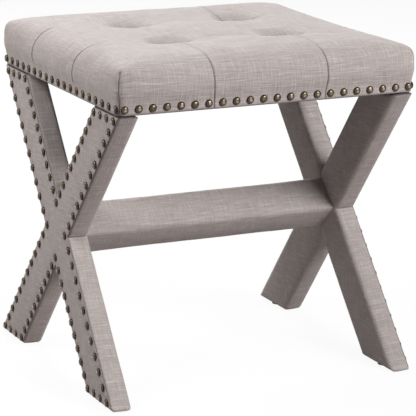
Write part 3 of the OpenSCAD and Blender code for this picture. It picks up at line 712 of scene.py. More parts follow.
def makeSeat():
    form = coverGrid(seat["coverStep"], seat["levelStep"], True)
    points, faces = form["points"], form["faces"]
    simPoints, moves = swellSeat()
    points = points + spread(simPoints, moves, points, simulation["carry"])
    normals = vertexNormals(points, faces)
    inner = points - normals * seat["coverThickness"]
    seam, lift = seamMarks(form)
    places = [nail for row in seatNails.values() for nail, _ in row]
    dents = nailDents(points, places, seat["nailDent"], seat["nailDentReach"])
    loose = seat["looseness"] * softNoise(points, 26, 3.1) + seat["rumple"] * softNoise(points, 90, 8.7)
    out = loose - dents - seat["pleatDepth"] * seam + seat["pleatLift"] * lift
    out *= np.where(form["drop"] > shoulder - seatLow.z - 1 * mm, 0.2, 1)  # calm under the rails
    outer = points + normals * out[:, None]
    allPoints, allFaces = shell(outer, inner, faces, form["rings"][-1])
    gx, gy = form["grid"][:, 0], form["grid"][:, 1]
    downX = unroll(gx, halfX) + np.sign(gx) * form["drop"]
    downY = unroll(gy, halfY) + np.sign(gy) * form["drop"]
    frontish = halfY - np.abs(gy) < halfX - np.abs(gx)
    uv = []
    for face in allFaces:
        ids = [i % len(outer) for i in face]
        front = sum(frontish[i] for i in ids) >= 2
        uv += [(points[i][0], downY[i]) if front else (downX[i], points[i][1]) for i in ids]
    cushion = addMesh("seat_cushion_cover", allPoints, allFaces, uv, linen)
    under = form["drop"] - (shoulder - seatLow.z)  # past the lower edge, where the cloth turns in
    # Painted shade in the tufts, darkest where they dip deepest
    paintedTuftShade = seat["tuftTint"] * (tuftDip(gx, gy) / seat["tuftDepth"]) ** 0.7
    # Painted shade along the pleats and corner seams, added to the tufts' painted shade
    shade = np.clip(seam * seat["seamShade"] + paintedTuftShade, 0, 1)
    # Painted shadow along the turned-in edge under the rails
    shade = np.maximum(shade, seat["edgeShade"] * np.exp(-(under / (1.6 * mm)) ** 2) * (form["drop"] > 0))
    addAttribute(cushion, "seam", np.concatenate([shade, np.zeros(len(inner))]))
    place(cushion, "linen", "seat_cover")

    keep = [n for n, ring in enumerate(form["rings"]) if n == 0 or points[ring[0]][2] > deckTop]
    low = float(inner[:, 2][np.hypot(np.abs(gx) - tuftX, np.abs(gy) - tuftY) < 3 * mm].min())
    return form, inner, normals, keep, low


seatForm, seatInner, seatNormals, foamRings, tuftBottom = makeSeat()


def makeFoamBlock():  # fills the cover down to the deck board
    core = seatInner - seatNormals * 0.3 * mm
    rings = [seatForm["rings"][n] for n in foamRings]
    topCount = seatForm["rings"][1][0]
    base = [(core[i][0], core[i][1], deckTop) for i in rings[-1]]
    used = topCount + sum(len(ring) for ring in rings[1:])
    points = np.vstack([core[:used], base, [(0, 0, deckTop)]])
    faces = [face for face in seatForm["faces"] if max(face) < used]
    ring = list(range(used, used + len(base)))
    faces += band(rings[-1], ring)
    faces += [(len(points) - 1, ring[(k + 1) % len(ring)], ring[k]) for k in range(len(ring))]
    block = addMesh("seat_foam_block", points, faces, None, foam)
    place(block, "foam", "seat_foam")


makeFoamBlock()


# Each tuft is held down by a two-ply twine, knotted under its washer

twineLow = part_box("tuft_twines")[0].z
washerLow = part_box("tuft_washers")[0].z
tie = {
    "plyRadius": 0.42 * mm,
    "layRadius": 0.36 * mm,
    "pitch": 3.2 * mm,  # height of one turn
    "knotSize": 0.55 * mm,
    "knotRadius": 0.7 * mm,
    "sides": 6,
}


def tube(path, radius, closed):  # rings of points round a path
    path = np.asarray(path)
    ahead = np.roll(path, -1, 0) - np.roll(path, 1, 0) if closed else np.gradient(path, axis=0)
    ahead /= np.linalg.norm(ahead, axis=1, keepdims=True)
    side = np.cross(ahead, (0.31, 0.52, 0.79))
    side /= np.linalg.norm(side, axis=1, keepdims=True)
    other = np.cross(ahead, side)
    angles = np.arange(tie["sides"]) * 2 * math.pi / tie["sides"]
    points = np.concatenate([p + radius * (np.outer(np.cos(angles), s) + np.outer(np.sin(angles), o))
                             for p, s, o in zip(path, side, other)])
    rings = [list(range(n * tie["sides"], (n + 1) * tie["sides"])) for n in range(len(path))]
    faces = []
    for first, second in zip(rings, rings[1:] + ([rings[0]] if closed else [])):
        faces += band(first, second)
    if not closed:
        faces += [tuple(rings[0]), tuple(reversed(rings[-1]))]
    return points, faces


def makeTies():
    points, faces = [], []

    def add(path, radius, closed):
        start = sum(len(p) for p in points)
        made, quads = tube(path, radius, closed)
        quads = turnOut(made - made.mean(0), quads)
        points.append(made)
        faces.extend(tuple(start + i for i in face) for face in quads)

    height = tuftBottom - washerLow
    steps = np.linspace(0, 1, 60)
    knot = np.linspace(0, 2 * math.pi, 40, endpoint=False)
    knotZ = (twineLow + washerLow) / 2
    for x in (-tuftX, tuftX):
        for y in (-tuftY, tuftY):
            for phase in (0, math.pi):
                turn = phase + steps * height / tie["pitch"] * 2 * math.pi
                add(np.column_stack([x + tie["layRadius"] * np.cos(turn),
                                     y + tie["layRadius"] * np.sin(turn),
                                     washerLow + steps * height]), tie["plyRadius"], False)
            size = tie["knotSize"]
            add(np.column_stack([x + size * (np.sin(knot) + 2 * np.sin(2 * knot)),
                                 y + size * (np.cos(knot) - 2 * np.cos(2 * knot)),
                                 knotZ - size * np.sin(3 * knot)]), tie["knotRadius"], True)
    ties = addMesh("tuft_twine_ties", np.concatenate(points), faces, None, twine)
    place(ties, "twine", "tuft_twines")


makeTies()
print("seat made")


# Leg frames: an X of padded bars under linen, with a nailed panel on the outer face

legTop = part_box("dust_cover")[0].z
leg = {
    "footLength": 85 * mm,
    "splay": 10 * mm,
    "linen": 1.2 * mm,
    "thickness": 30 * mm,
    "edgeRadius": 2.4 * mm,
    "innerRadius": 6 * mm,  # the wadding rolls over the edges that face the stretcher
    "panelIn": 1.5 * mm,
    "glide": 2.5 * mm,
    "nailInsets": {-1: 7.5 * mm, 1: 9 * mm},  # the right frame's nails stay hidden behind its edges
    "steps": (3, 11, 11, 3, 10, 10),  # nails across an end, along outer and inner edges
    "facePuff": 1.1 * mm,  # how far the wadding fills a broad face
    "sidePuff": 0.7 * mm,
    "nailDent": 0.8 * mm,
    "nailDentReach": 7 * mm,
    "nailShade": 0.3,  # painted shade round each nail's dent
    "foldDepth": 0.9 * mm,  # of the folded seam across each crotch
    "foldWidth": 0.7 * mm,
    "looseness": 0.25 * mm,
    "rumple": 0.1 * mm,
    "panelRumple": 0.12 * mm,
    "middleSeamWidth": 0.8 * mm,  # down the face towards the stretcher
    "middleSeamDepth": 0.5 * mm,
    "topGap": 1.5 * mm,  # width of the painted shadow line at the bars' tops, under the seat
    "coverEdgeShade": 0.35,  # painted shade line along the panel's edges, on the cover
    "panelEdgeShade": 0.8,  # and on the panel
}
legRise = legTop - leg["glide"]
legRun = 2 * bodyY - leg["footLength"]
legLean = math.atan2(legRise, legRun)
legMiddle = leg["glide"] + legRise / 2
splayAngle = math.asin(leg["splay"] / legTop)
outerX = bodyX - leg["linen"]  # the bars' outer faces, before the frame is splayed


def crossPoints(inset):  # the twelve corners of the X as depth and height from its middle
    half = leg["footLength"] / 2 - inset / math.sin(legLean)
    top = legRise / 2 - inset
    far, near = top / math.tan(legLean) + half, top / math.tan(legLean) - half
    crotch = half * math.tan(legLean)
    return np.array([(near, top), (far, top), (half, 0), (far, -top), (near, -top), (0, -crotch),
                     (-near, -top), (-far, -top), (-half, 0), (-far, top), (-near, top), (0, crotch)])


def splayed(points, side):  # leans an upright frame out about its edge under the seat
    x, y, z = points[:, 0], points[:, 1], points[:, 2]
    dx, dz = np.abs(x) - bodyX, z - legTop
    turnedX = bodyX + dx * math.cos(splayAngle) - dz * math.sin(splayAngle)
    turnedZ = legTop + dx * math.sin(splayAngle) + dz * math.cos(splayAngle)
    return np.stack([side * turnedX, y, turnedZ], 1)


def flatNails(side):  # along the outline, as depth and height from the X's middle
    corners = crossPoints(leg["nailInsets"][side])
    steps = leg["steps"] * 2
    return np.array([corners[c] + (corners[(c + 1) % 12] - corners[c]) * s / steps[c]
                     for c in range(12) for s in range(steps[c])])


def legNailPlaces(side):
    points = np.array([(bodyX, p[0], legMiddle + p[1]) for p in flatNails(side)])
    normal = Vector((side * math.cos(splayAngle), 0, math.sin(splayAngle)))
    return [(Vector(p), normal) for p in splayed(points, side)]


# The X as a grid: each edge of the outline is cut in the same shares, finest at the crotches
alongShares = np.concatenate([[0, 0.003, 0.008, 0.018], np.linspace(0.035, 0.97, 54), [0.985, 1]])
acrossShares = np.linspace(0, 1, 17)


def outline(inset):  # ring of points, and for each edge the shares it was cut in
    corners = crossPoints(inset)
    ring = []
    for c in range(12):
        start, end = corners[c], corners[(c + 1) % 12]
        if c in (0, 3, 6, 9):
            shares = acrossShares
        elif c in (1, 4, 7, 10):
            shares = 1 - alongShares[::-1]  # towards the crotch
        else:
            shares = alongShares
        ring += [start + (end - start) * s for s in shares[:-1]]
    return np.array(ring)


ringCount = 4 * (len(acrossShares) - 1) + 8 * (len(alongShares) - 1)  # four ends and eight long edges


def crossFace(inset):  # the flat X as a grid whose border is outline(inset), with the border first
    border = outline(inset)
    points = [tuple(p) for p in border]
    faces = []
    index = {}

    def at(point):
        key = (round(point[0] * 1e7), round(point[1] * 1e7))
        if key not in index:
            index[key] = len(points)
            points.append(tuple(point))
        return index[key]

    for number, p in enumerate(border):
        index[(round(p[0] * 1e7), round(p[1] * 1e7))] = number

    def patch(a, b, c, d, sharesAB, sharesAD):  # a grid over the quad a b c d
        rows = []
        for t in sharesAD:
            left, right = a + (d - a) * t, b + (c - b) * t
            rows.append([at(left + (right - left) * s) for s in sharesAB])
        for low, high in zip(rows, rows[1:]):
            for k in range(len(low) - 1):
                faces.append((low[k], low[k + 1], high[k + 1], high[k]))

    corners = crossPoints(inset)
    for c in (0, 3, 6, 9):  # each arm, from its crotches out to its end
        endA, endB = corners[c], corners[c + 1]
        crotchB, crotchA = corners[(c + 2) % 12], corners[(c - 1) % 12]
        patch(crotchA, crotchB, endB, endA, acrossShares, alongShares)
    patch(corners[2], corners[5], corners[8], corners[11], acrossShares, acrossShares)
    points = np.array(points)
    ordered = []
    for face in faces:
        a, b, c = (points[i] for i in face[:3])
        turn = (b[0] - a[0]) * (c[1] - a[1]) - (b[1] - a[1]) * (c[0] - a[0])
        ordered.append(face if turn > 0 else face[::-1])
    return points, ordered


def armShares(points):  # distance from the nearest bar's middle line, over half its width
    y, z = points[:, 0], points[:, 1]
    half = leg["footLength"] / 2
    shares = [np.abs(y - lean * z / math.tan(legLean)) / half for lean in (1, -1)]
    return np.clip(np.minimum(*shares), 0, 1)


def crossBody(inset, thickness, innerRadius, outerRadius, puff):
    # Closed solid of the X, from x = 0 on the inner face to x = thickness on the outer one
    flatPoints, flatFaces = crossFace(inset + innerRadius)
    filled = puff * (1 - armShares(flatPoints) ** 2)
    points = [np.column_stack([-filled, flatPoints])]
    count = len(flatPoints)
    faces = [tuple(reversed(face)) for face in flatFaces]
    rings = [list(range(ringCount))]
    arc = [math.radians(a) for a in (22.5, 45, 67.5, 90)]
    sides = np.linspace(innerRadius, thickness - outerRadius, 9)[1:-1]
    stations = [(innerRadius * (1 - math.cos(a)), innerRadius * (1 - math.sin(a))) for a in arc]
    stations += [(x, 0) for x in sides]
    stations += [(thickness - outerRadius * (1 - math.cos(a)), outerRadius * (1 - math.sin(a)))
                 for a in reversed(arc)]
    outerFace = crossFace(inset + outerRadius)[0]
    for x, into in stations:
        ring = outline(inset + into)
        points.append(np.column_stack([np.full(ringCount, x), ring]))
        rings.append(list(range(count, count + ringCount)))
        count += ringCount
    points.append(np.column_stack([np.full(len(outerFace), thickness), outerFace]))
    rings.append(list(range(count, count + ringCount)))
    faces += [tuple(count + i for i in face) for face in flatFaces]
    for first, second in zip(rings, rings[1:]):
        faces += band(first, second)
    return np.concatenate(points), faces


def legUv(points, faces):  # cloth runs with the frame on the broad faces and round the bars on the edges
    normals = vertexNormals(points, faces)
    uv = []
    for face in faces:
        broad = sum(abs(normals[i][0]) for i in face) > 0.7 * len(face)
        for i in face:
            x, y, z = points[i]
            uv.append((y, z) if broad else (x + 0.31, math.copysign(math.hypot(y, z), z)))
    return uv


def makeLegFrame(side, name):
    nails = legNailPlaces(side)
    innerX = outerX - leg["thickness"]

    points, faces = crossBody(0, leg["thickness"], leg["innerRadius"], leg["edgeRadius"], leg["facePuff"])
    normals = vertexNormals(points, faces)
    sideShare = np.clip(points[:, 0] / leg["thickness"], 0, 1)
    onSide = 1 - np.abs(normals[:, 0])
    puff = leg["sidePuff"] * (1 - (2 * sideShare - 1) ** 2) * onSide
    toCrotch = np.min([np.hypot(points[:, 1] - c[0], points[:, 2] - c[1])
                       for c in crossPoints(0)[[2, 5, 8, 11]]], axis=0)
    fold = np.exp(-(toCrotch / leg["foldWidth"]) ** 2) * onSide
    # Painted shadow along the bars' tops, where they meet the seat
    topGap = np.exp(-((points[:, 2] - legRise / 2) / leg["topGap"]) ** 2)
    puff = puff * smoothStep(0, 12 * mm, toCrotch) - leg["foldDepth"] * fold
    puff += leg["looseness"] * softNoise(points + [side, 0, 0], 30, 5.3)
    puff += leg["rumple"] * softNoise(points, 110, 2.2)
    seamInner = np.exp(-(points[:, 1] / leg["middleSeamWidth"]) ** 2) * (points[:, 0] < 1 * mm)
    shaped = points + normals * (puff - leg["middleSeamDepth"] * seamInner)[:, None]
    uv = legUv(points, faces)
    upright = shaped + [innerX, 0, legMiddle]
    if side < 0:
        faces, uv = turnFaces(faces, uv)  # the left frame mirrors the right one
    cover = addMesh(f"{name}_leg_cover", splayed(upright, side), faces, uv, linen)
    # Painted shade along the cover's outer edge, under the panel's edge
    paintedEdgeShade = smoothStep(leg["thickness"] - leg["edgeRadius"], leg["thickness"] - 0.2 * mm, points[:, 0])
    # Painted shade in the crotch folds and the middle seam, with the painted shadow at the tops and along
    # the panel's edges
    shade = fold * 0.5 + seamInner * 0.3 + topGap + paintedEdgeShade * leg["coverEdgeShade"]
    addAttribute(cover, "seam", np.clip(shade, 0, 1))
    place(cover, "linen", f"{name}_front_bar_cover", f"{name}_back_bar_upper_cover",
          f"{name}_back_bar_lower_cover")

    # The panel on the outer face, its edges folded in under the nails
    flat, flatFaces = crossFace(leg["panelIn"] + 1 * mm)
    dents = nailDents(np.column_stack([np.zeros(len(flat)), flat]), [(0, *p) for p in flatNails(side)],
                      leg["nailDent"], leg["nailDentReach"])
    height = leg["linen"] + leg["facePuff"] * 0.8 * (1 - armShares(flat) ** 2) - dents
    count = len(flat)
    rings = [(leg["panelIn"] + 0.3 * mm, leg["linen"] - 0.3 * mm), (leg["panelIn"], leg["linen"] - 0.8 * mm),
             (leg["panelIn"] + 0.1 * mm, 0)]
    points = [np.column_stack([height, flat])]
    faces = [tuple(face) for face in flatFaces]
    chain = [list(range(ringCount))]
    for inset, x in rings:
        points.append(np.column_stack([np.full(ringCount, x), outline(inset)]))
        chain.append(list(range(count, count + ringCount)))
        count += ringCount
    points.append(np.column_stack([np.zeros(len(flat)), flat]))
    chain.append(list(range(count, count + ringCount)))
    faces += [tuple(count + i for i in reversed(face)) for face in flatFaces]
    for first, second in zip(chain, chain[1:]):
        faces += band(second, first)
    points = np.concatenate(points)
    normals = vertexNormals(points, faces)
    points = points + normals * (leg["panelRumple"] * softNoise(points, 120, 4.4))[:, None]
    uv = legUv(points, faces)
    upright = points + [outerX, 0, legMiddle]
    if side < 0:
        faces, uv = turnFaces(faces, uv)  # the left frame mirrors the right one
    panel = addMesh(f"{name}_leg_outer_panel", splayed(upright, side), faces, uv, linen)
    # Painted shade along the panel's folded edge
    paintedEdgeShade = 1 - smoothStep(0.1 * mm, leg["linen"] - 0.3 * mm, upright[:, 0] - outerX)
    shade = np.zeros(len(points))
    # Painted shade round each nail, as deep as its dent
    shade[:len(flat)] = leg["nailShade"] * dents / leg["nailDent"]
    addAttribute(panel, "seam", np.maximum(shade, paintedEdgeShade * leg["panelEdgeShade"]))
    place(panel, "linen", f"{name}_outer_panel")

    # Wadding between the linen and the wooden bars
    points, faces = crossBody(leg["linen"], leg["thickness"] - 2 * leg["linen"],
                              leg["innerRadius"] - leg["linen"], leg["edgeRadius"] - leg["linen"],
                              leg["facePuff"] * 0.6)
    upright = points + [innerX + leg["linen"], 0, legMiddle]
    if side < 0:
        faces = [tuple(reversed(face)) for face in faces]
    fill = addMesh(f"{name}_leg_wadding", splayed(upright, side), faces, None, wadding)
    place(fill, "wadding", f"{name}_front_bar_wadding", f"{name}_back_bar_upper_wadding",
          f"{name}_back_bar_lower_wadding")
    return nails


def turnFaces(faces, uv):  # reverses the faces and each one's place on the cloth
    turned, coordinates, start = [], [], 0
    for face in faces:
        turned.append(tuple(reversed(face)))
        coordinates += uv[start:start + len(face)][::-1]
        start += len(face)
    return turned, coordinates


legNails = {"left_leg_nails": makeLegFrame(-1, "left"), "right_leg_nails": makeLegFrame(1, "right")}
print("leg frames made")


# Stretcher: a padded square bar set on edge between the two crossings

stretcher = {
    "side": 55 * mm,
    "endRadius": 4.5 * mm,  # the long edges are crisp at the ends and softer in the middle
    "middleRadius": 9 * mm,
    "puff": 1.6 * mm,
    "stations": 96,
    "cornerSteps": 6,
    "sideSteps": 10,
    "wadding": 4 * mm,
}


def stretcherSection(side, radius, puff):
    section = []
    for quarter in range(4):
        turn = math.pi / 2 * quarter + math.pi / 4
        half = side / 2 - radius
        flat = [(side / 2 + puff * (1 - s * s), s * half)
                for s in np.linspace(-1, 1, stretcher["sideSteps"])]
        corner = [(half + radius * math.cos(a), half + radius * math.sin(a))
                  for a in np.linspace(0, math.pi / 2, stretcher["cornerSteps"] + 1)[1:-1]]
        for u, v in flat + corner:
            section.append((u * math.cos(turn) - v * math.sin(turn),
                            u * math.sin(turn) + v * math.cos(turn)))
    return np.array(section)


def stretcherEndX(z):  # the leaning inner face of a leg frame at height z
    inner = outerX - leg["thickness"]
    return bodyX - (bodyX - inner) / math.cos(splayAngle) + (legTop - z) * math.tan(splayAngle)


def makeStretcherSkin(name, inset, finish, slotName, node, rough):
    count = stretcher["stations"]
    shares = np.sin(np.linspace(-math.pi / 2, math.pi / 2, count))
    points, uv = [], []
    for share in shares:
        soft = 1 - abs(share) ** 6
        radius = stretcher["endRadius"] + (stretcher["middleRadius"] - stretcher["endRadius"]) * soft
        radius -= inset * 0.8
        section = stretcherSection(stretcher["side"] - 2 * inset, radius, stretcher["puff"] * soft)
        for y, z in section:
            points.append((share * (stretcherEndX(legMiddle + z) - inset), y, legMiddle + z))
    sectionCount = len(section)
    points = np.array(points)
    rings = [list(range(n * sectionCount, (n + 1) * sectionCount)) for n in range(count)]
    faces = []
    for first, second in zip(rings, rings[1:]):
        faces += band(first, second)
    around = np.concatenate([[0], np.cumsum(np.linalg.norm(np.diff(section, axis=0), axis=1))])
    for face in faces:
        for i in face:
            uv.append((points[i][0], around[i % sectionCount] + 0.2))
    ends = [len(points), len(points) + 1]
    for n, ring in enumerate((rings[0], rings[-1])):
        middle = points[ring].mean(0)
        points = np.vstack([points, middle])
        for k in range(sectionCount):
            pair = (ring[(k + 1) % sectionCount], ring[k]) if n else (ring[k], ring[(k + 1) % sectionCount])
            faces.append((ends[n], *pair))
            uv += [(0, 0), (0, 0.01), (0.01, 0)]
    if turnOut(points, faces) is not faces:
        faces, uv = turnFaces(faces, uv)
    quads = [face for face in faces if len(face) == 4]
    normals = vertexNormals(points, quads)
    normals[ends] = 0
    uneven = rough * softNoise(points, 34, 6.6) + rough * 0.4 * softNoise(points, 120, 1.7)
    points = points + normals * uneven[:, None]
    skin = addMesh(name, points, faces, uv, finish)
    addAttribute(skin, "seam", np.zeros(len(points)))
    place(skin, slotName, node)


makeStretcherSkin("stretcher_linen_cover", 0, linen, "linen", "stretcher_cover", 0.3 * mm)
makeStretcherSkin("stretcher_padding", leg["linen"] + 0.3 * mm, wadding, "wadding", "stretcher_wadding",
                  0.2 * mm)
print("stretcher made")


# Nails: one turned head, set by Geometry Nodes on every place of a row

nail = {
    "Diameter": 11 * mm,
    "Height": 3.1 * mm,
    "Flange": 0.35 * mm,
    "Shank": 7 * mm,
    "Shank Diameter": 1.8 * mm,
    "Tilt": 0.06,  # radians that a head may lean either way
    "Segments": 16,
    "Seed": 11,
}


def makeNailTree():
    tree = bpy.data.node_groups.new("nailRow", "GeometryNodeTree")
    tree.is_modifier = True
    face = tree.interface
    face.new_socket("Geometry", in_out="INPUT", socket_type="NodeSocketGeometry")
    for name, value in nail.items():
        kind = "NodeSocketInt" if isinstance(value, int) else "NodeSocketFloat"
        face.new_socket(name, in_out="INPUT", socket_type=kind).default_value = value
    face.new_socket("Material", in_out="INPUT", socket_type="NodeSocketMaterial")
    face.new_socket("Geometry", in_out="OUTPUT", socket_type="NodeSocketGeometry")
    links = tree.links

    def node(kind, settings=(), **sockets):
        made = tree.nodes.new(kind)
        for name, value in dict(settings).items():
            setattr(made, name, value)
        for key, value in sockets.items():
            socket = made.inputs[int(key[1:])] if key[0] == "i" and key[1:].isdigit() else made.inputs[key]
            if isinstance(value, bpy.types.NodeSocket):
                links.new(value, socket)
            else:
                socket.default_value = value
        return made

    def math2(operation, first, second):
        return node("ShaderNodeMath", {"operation": operation}, i0=first, i1=second).outputs[0]

    given = tree.nodes.new("NodeGroupInput").outputs
    # The dome is half a flattened ball: rings of a cone, bent by the rise of each point
    dome = node("GeometryNodeMeshCone", {"fill_type": "NONE"}, Vertices=given["Segments"])
    dome.inputs["Side Segments"].default_value = 5
    dome.inputs["Radius Top"].default_value = 0.0
    dome.inputs["Radius Bottom"].default_value = 1.0
    dome.inputs["Depth"].default_value = 1.0
    position = node("GeometryNodeInputPosition").outputs[0]
    parts = node("ShaderNodeSeparateXYZ", i0=position).outputs
    cone = parts["Z"]  # 0 at the rim, 1 at the top
    angle = math2("MULTIPLY", cone, math.pi / 2)
    shrunk = math2("MAXIMUM", math2("SUBTRACT", 1.0, cone), 0.0001)  # the cone's own radius
    ratio = math2("DIVIDE", math2("COSINE", angle, 0.0), shrunk)
    radius = math2("MULTIPLY", math2("MULTIPLY", given["Diameter"], 0.5), ratio)
    bentX = math2("MULTIPLY", parts["X"], radius)
    bentY = math2("MULTIPLY", parts["Y"], radius)
    lift = math2("SINE", angle, 0.0)
    bentZ = math2("ADD", math2("MULTIPLY", lift, given["Height"]), given["Flange"])
    bent = node("ShaderNodeCombineXYZ", X=bentX, Y=bentY, Z=bentZ).outputs[0]
    stored = node("GeometryNodeStoreNamedAttribute", {"data_type": "FLOAT", "domain": "POINT"},
                  Geometry=dome.outputs["Mesh"], Name="rise", Value=lift).outputs[0]
    shaped = node("GeometryNodeSetPosition", Geometry=stored, Position=bent).outputs[0]
    # A thin flange and a short shank below the dome
    half = math2("MULTIPLY", given["Diameter"], 0.5)
    flange = node("GeometryNodeMeshCylinder", {"fill_type": "NGON"}, Vertices=given["Segments"], Radius=half,
                  Depth=given["Flange"]).outputs["Mesh"]
    flangeUp = node("ShaderNodeCombineXYZ", Z=math2("MULTIPLY", given["Flange"], 0.5)).outputs[0]
    flange = node("GeometryNodeTransform", Geometry=flange, Translation=flangeUp).outputs[0]
    shankCone = node("GeometryNodeMeshCone", {"fill_type": "NGON"}, Vertices=6, Depth=given["Shank"])
    links.new(math2("MULTIPLY", given["Shank Diameter"], 0.5), shankCone.inputs["Radius Top"])
    shankCone.inputs["Radius Bottom"].default_value = 0.2 * mm
    shankDown = node("ShaderNodeCombineXYZ", Z=math2("MULTIPLY", given["Shank"], -1.0)).outputs[0]
    shank = node("GeometryNodeTransform", Geometry=shankCone.outputs["Mesh"],
                 Translation=shankDown).outputs[0]
    joined = tree.nodes.new("GeometryNodeJoinGeometry")
    for part in (shank, flange, shaped):
        links.new(part, joined.inputs[0])
    smooth = node("GeometryNodeSetShadeSmooth", Geometry=joined.outputs[0]).outputs[0]
    # One head on every point, square to the cloth and a little out of true
    facing = node("GeometryNodeInputNamedAttribute", {"data_type": "FLOAT_VECTOR"}, Name="facing").outputs[0]
    square = node("FunctionNodeAlignRotationToVector", {"axis": "Z"}, Vector=facing).outputs[0]
    negative = math2("MULTIPLY", given["Tilt"], -1.0)
    low = node("ShaderNodeCombineXYZ", X=negative, Y=negative, Z=-math.pi).outputs[0]
    high = node("ShaderNodeCombineXYZ", X=given["Tilt"], Y=given["Tilt"], Z=math.pi).outputs[0]
    wobble = node("FunctionNodeRandomValue", {"data_type": "FLOAT_VECTOR"})
    links.new(low, wobble.inputs[0])
    links.new(high, wobble.inputs[1])
    links.new(given["Seed"], wobble.inputs["Seed"])
    turned = node("FunctionNodeRotateRotation", {"rotation_space": "LOCAL"}, Rotation=square)
    links.new(wobble.outputs[0], turned.inputs[1])
    points = node("GeometryNodeMeshToPoints", Mesh=given["Geometry"]).outputs[0]
    row = node("GeometryNodeInstanceOnPoints", Points=points, Instance=smooth,
               Rotation=turned.outputs[0]).outputs[0]
    real = node("GeometryNodeRealizeInstances", Geometry=row).outputs[0]
    finished = node("GeometryNodeSetMaterial", Geometry=real, Material=given["Material"]).outputs[0]
    end = tree.nodes.new("NodeGroupOutput")
    links.new(finished, end.inputs[0])
    return tree


def bake(piece):  # turns the modifier's result into a plain mesh
    done = bpy.data.meshes.new_from_object(piece.evaluated_get(bpy.context.evaluated_depsgraph_get()))
    piece.modifiers.clear()
    piece.data = done


nailTree = makeNailTree()


def makeNailRow(replacedNode, places, seed):
    row = addMesh(replacedNode.replace("nails", "nail_heads"), [p for p, _ in places], [])
    layer = row.data.attributes.new("facing", "FLOAT_VECTOR", "POINT")
    layer.data.foreach_set("vector", np.array([tuple(n) for _, n in places], np.float32).ravel())
    modifier = row.modifiers.new("nails", "NODES")
    modifier.node_group = nailTree
    for item in nailTree.interface.items_tree:
        if item.in_out == "INPUT" and item.name == "Material":
            modifier[item.identifier] = bronze
        elif item.in_out == "INPUT" and item.name in nail:
            modifier[item.identifier] = seed if item.name == "Seed" else nail[item.name]
    bake(row)
    place(row, "antique_bronze", replacedNode)


for number, (name, places) in enumerate({**seatNails, **legNails}.items()):
    makeNailRow(name, places, nail["Seed"] + number)
print("nails made")


# Dust cover: black felt stretched under the rails

dustLow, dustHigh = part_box("dust_cover")
dust = {
    "cells": (54, 50),
    "thickness": 0.6 * mm,
    "sag": 1.6 * mm,
    "wave": 0.25 * mm,
    "flatEdge": 8 * mm,  # no sag this near the rails' outside
    "sagStart": 60 * mm,  # full sag from here on
}


def makeDustCover():
    nx, ny = dust["cells"]
    xs = np.linspace(dustLow.x, dustHigh.x, nx + 1)
    ys = np.linspace(dustLow.y, dustHigh.y, ny + 1)
    gx, gy = (a.ravel() for a in np.meshgrid(xs, ys))
    clearX, clearY = (smoothStep(half - dust["flatEdge"], half - dust["sagStart"], np.abs(across))
                      for half, across in ((bodyX, gx), (bodyY, gy)))
    clear = clearX * clearY
    wave = dust["wave"] * softNoise(np.column_stack([gx, gy, gx * 0]), 22, 9.1) * clear
    top = np.full(len(gx), dustHigh.z - 0.15 * mm) - dust["sag"] * clear + wave
    outer = np.column_stack([gx, gy, top - dust["thickness"]])
    inner = np.column_stack([gx, gy, top])
    faces = [(j * (nx + 1) + i, (j + 1) * (nx + 1) + i, (j + 1) * (nx + 1) + i + 1, j * (nx + 1) + i + 1)
             for j in range(ny) for i in range(nx)]
    rim = list(range(nx)) + [j * (nx + 1) + nx for j in range(ny)]
    rim += [ny * (nx + 1) + i for i in range(nx, 0, -1)] + [j * (nx + 1) for j in range(ny, 0, -1)]
    points, allFaces = shell(outer, inner, faces, rim[::-1])
    sheet = addMesh("dust_cover_felt", points, turnOut(points, allFaces), None, dustCloth)
    place(sheet, "dust_cloth", "dust_cover")


makeDustCover()
print("dust cover made")


# The wooden frame and the fasteners keep their CAD shapes

finishes = [
    (pineAlongX, ["front_rail", "back_rail", "stretcher_core", "stretcher_dowels"]),
    (pineAlongY, ["left_rail", "right_rail", "front_left_block", "front_right_block", "back_left_block",
                  "back_right_block"]),
    (pineUpright, ["left_front_bar", "left_back_bar", "right_front_bar", "right_back_bar"]),
    (plywood, ["seat_deck"]),
    (steel, ["tuft_washers", "deck_screws", "leg_screws", "stretcher_bolts"]),
    (glidePlastic, ["foot_glides"]),
]
for finish, names in finishes:
    for name in names:
        slots = nodes[name].material_slots
        for slotNumber in range(len(slots)):
            slots[slotNumber].material = finish
print("frame and fasteners finished")


# Studio

studio = {
    "cameraPlace": (-1.3336, -2.8096, 0.9946),
    "cameraTurn": (75.861, -0.584, -25.4),  # degrees
    "lens": 194.5,
    "sensor": 36.0,
    "floorSize": 7.0,
    "floorBounce": (0.265, 0.238, 0.233),  # how much of the light the floor throws back
    "floorWhite": 0.93,  # share of plain white that the camera sees in it
    "fill": 0.04,  # strength of the white surroundings
    "lampAim": (0, 0, 0.3),
}
lamps = [
    # name, place, width, height, watts
    ("frontPanel", (1.25, -2.35, 1.8), 1.7, 0.9, 75),
    ("backPanel", (0.3, 2.6, 1.75), 1.2, 1.2, 57),
    ("leftPanel", (-1.15, 0.2, 1.3), 0.8, 0.8, 14),
]


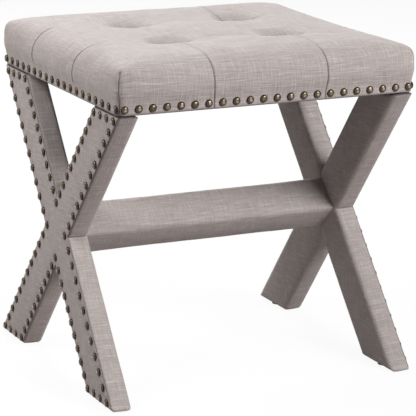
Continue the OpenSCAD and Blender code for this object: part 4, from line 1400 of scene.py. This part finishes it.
def makeStudio():
    scene = bpy.context.scene
    camera = bpy.data.cameras.new("camera")
    camera.lens = studio["lens"]
    camera.sensor_width = studio["sensor"]
    cameraObject = bpy.data.objects.new("camera", camera)
    cameraObject.location = studio["cameraPlace"]
    cameraObject.rotation_euler = [math.radians(a) for a in studio["cameraTurn"]]
    scene.collection.objects.link(cameraObject)
    scene.camera = cameraObject

    aim = Vector(studio["lampAim"])
    for name, spot, width, height, watts in lamps:
        lamp = bpy.data.lights.new(name, "AREA")
        lamp.shape = "RECTANGLE"
        lamp.size, lamp.size_y = width, height
        lamp.energy = watts
        lampObject = bpy.data.objects.new(name, lamp)
        lampObject.location = spot
        lampObject.rotation_euler = (aim - Vector(spot)).to_track_quat("-Z", "Y").to_euler()
        lampObject.visible_camera = False
        scene.collection.objects.link(lampObject)

    world = bpy.data.worlds.new("studio")
    scene.world = world
    world.use_nodes = True
    tree = world.node_tree
    background = tree.nodes["Background"]
    background.inputs["Color"].default_value = (1, 1, 1, 1)
    rays = tree.nodes.new("ShaderNodeLightPath").outputs
    seen = rays["Is Camera Ray"]
    for kind in ("Is Glossy Ray", "Is Transmission Ray"):
        either = tree.nodes.new("ShaderNodeMath")
        either.operation = "MAXIMUM"
        tree.links.new(seen, either.inputs[0])
        tree.links.new(rays[kind], either.inputs[1])
        seen = either.outputs[0]
    strength = tree.nodes.new("ShaderNodeMapRange")
    tree.links.new(seen, strength.inputs["Value"])
    strength.inputs["To Min"].default_value = studio["fill"]
    strength.inputs["To Max"].default_value = 1.0
    tree.links.new(strength.outputs["Result"], background.inputs["Strength"])

    half = studio["floorSize"] / 2
    corners = [(-half, -half, 0), (half, -half, 0), (half, half, 0), (-half, half, 0)]
    floor = addMesh("studioFloor", corners, [(0, 1, 2, 3)])
    paper = Finish("paleFloor", roughness=0.9)
    glow = paper.node("ShaderNodeEmission", {}, {"Color": (1, 1, 1, 1), "Strength": 1.0})["Emission"]
    rays = paper.node("ShaderNodeLightPath")
    seen = rays["Is Camera Ray"]
    for kind in ("Is Glossy Ray", "Is Transmission Ray"):
        seen = seen.math("MAXIMUM", rays[kind])
    paper.set(baseColor=paper.mix(seen, (*studio["floorBounce"], 1), (1, 1, 1, 1)))
    dim = paper.node("ShaderNodeMixShader", {}, {0: seen * studio["floorWhite"]})
    paper.tree.links.new(paper.shader.outputs[0], dim.made.inputs[1])
    paper.tree.links.new(glow.socket, dim.made.inputs[2])
    paper.tree.links.new(dim[0].socket, paper.tree.nodes["Material Output"].inputs["Surface"])
    floor.data.materials.append(paper.material)
    scene.view_settings.view_transform = "Standard"


makeStudio()
print("studio made")
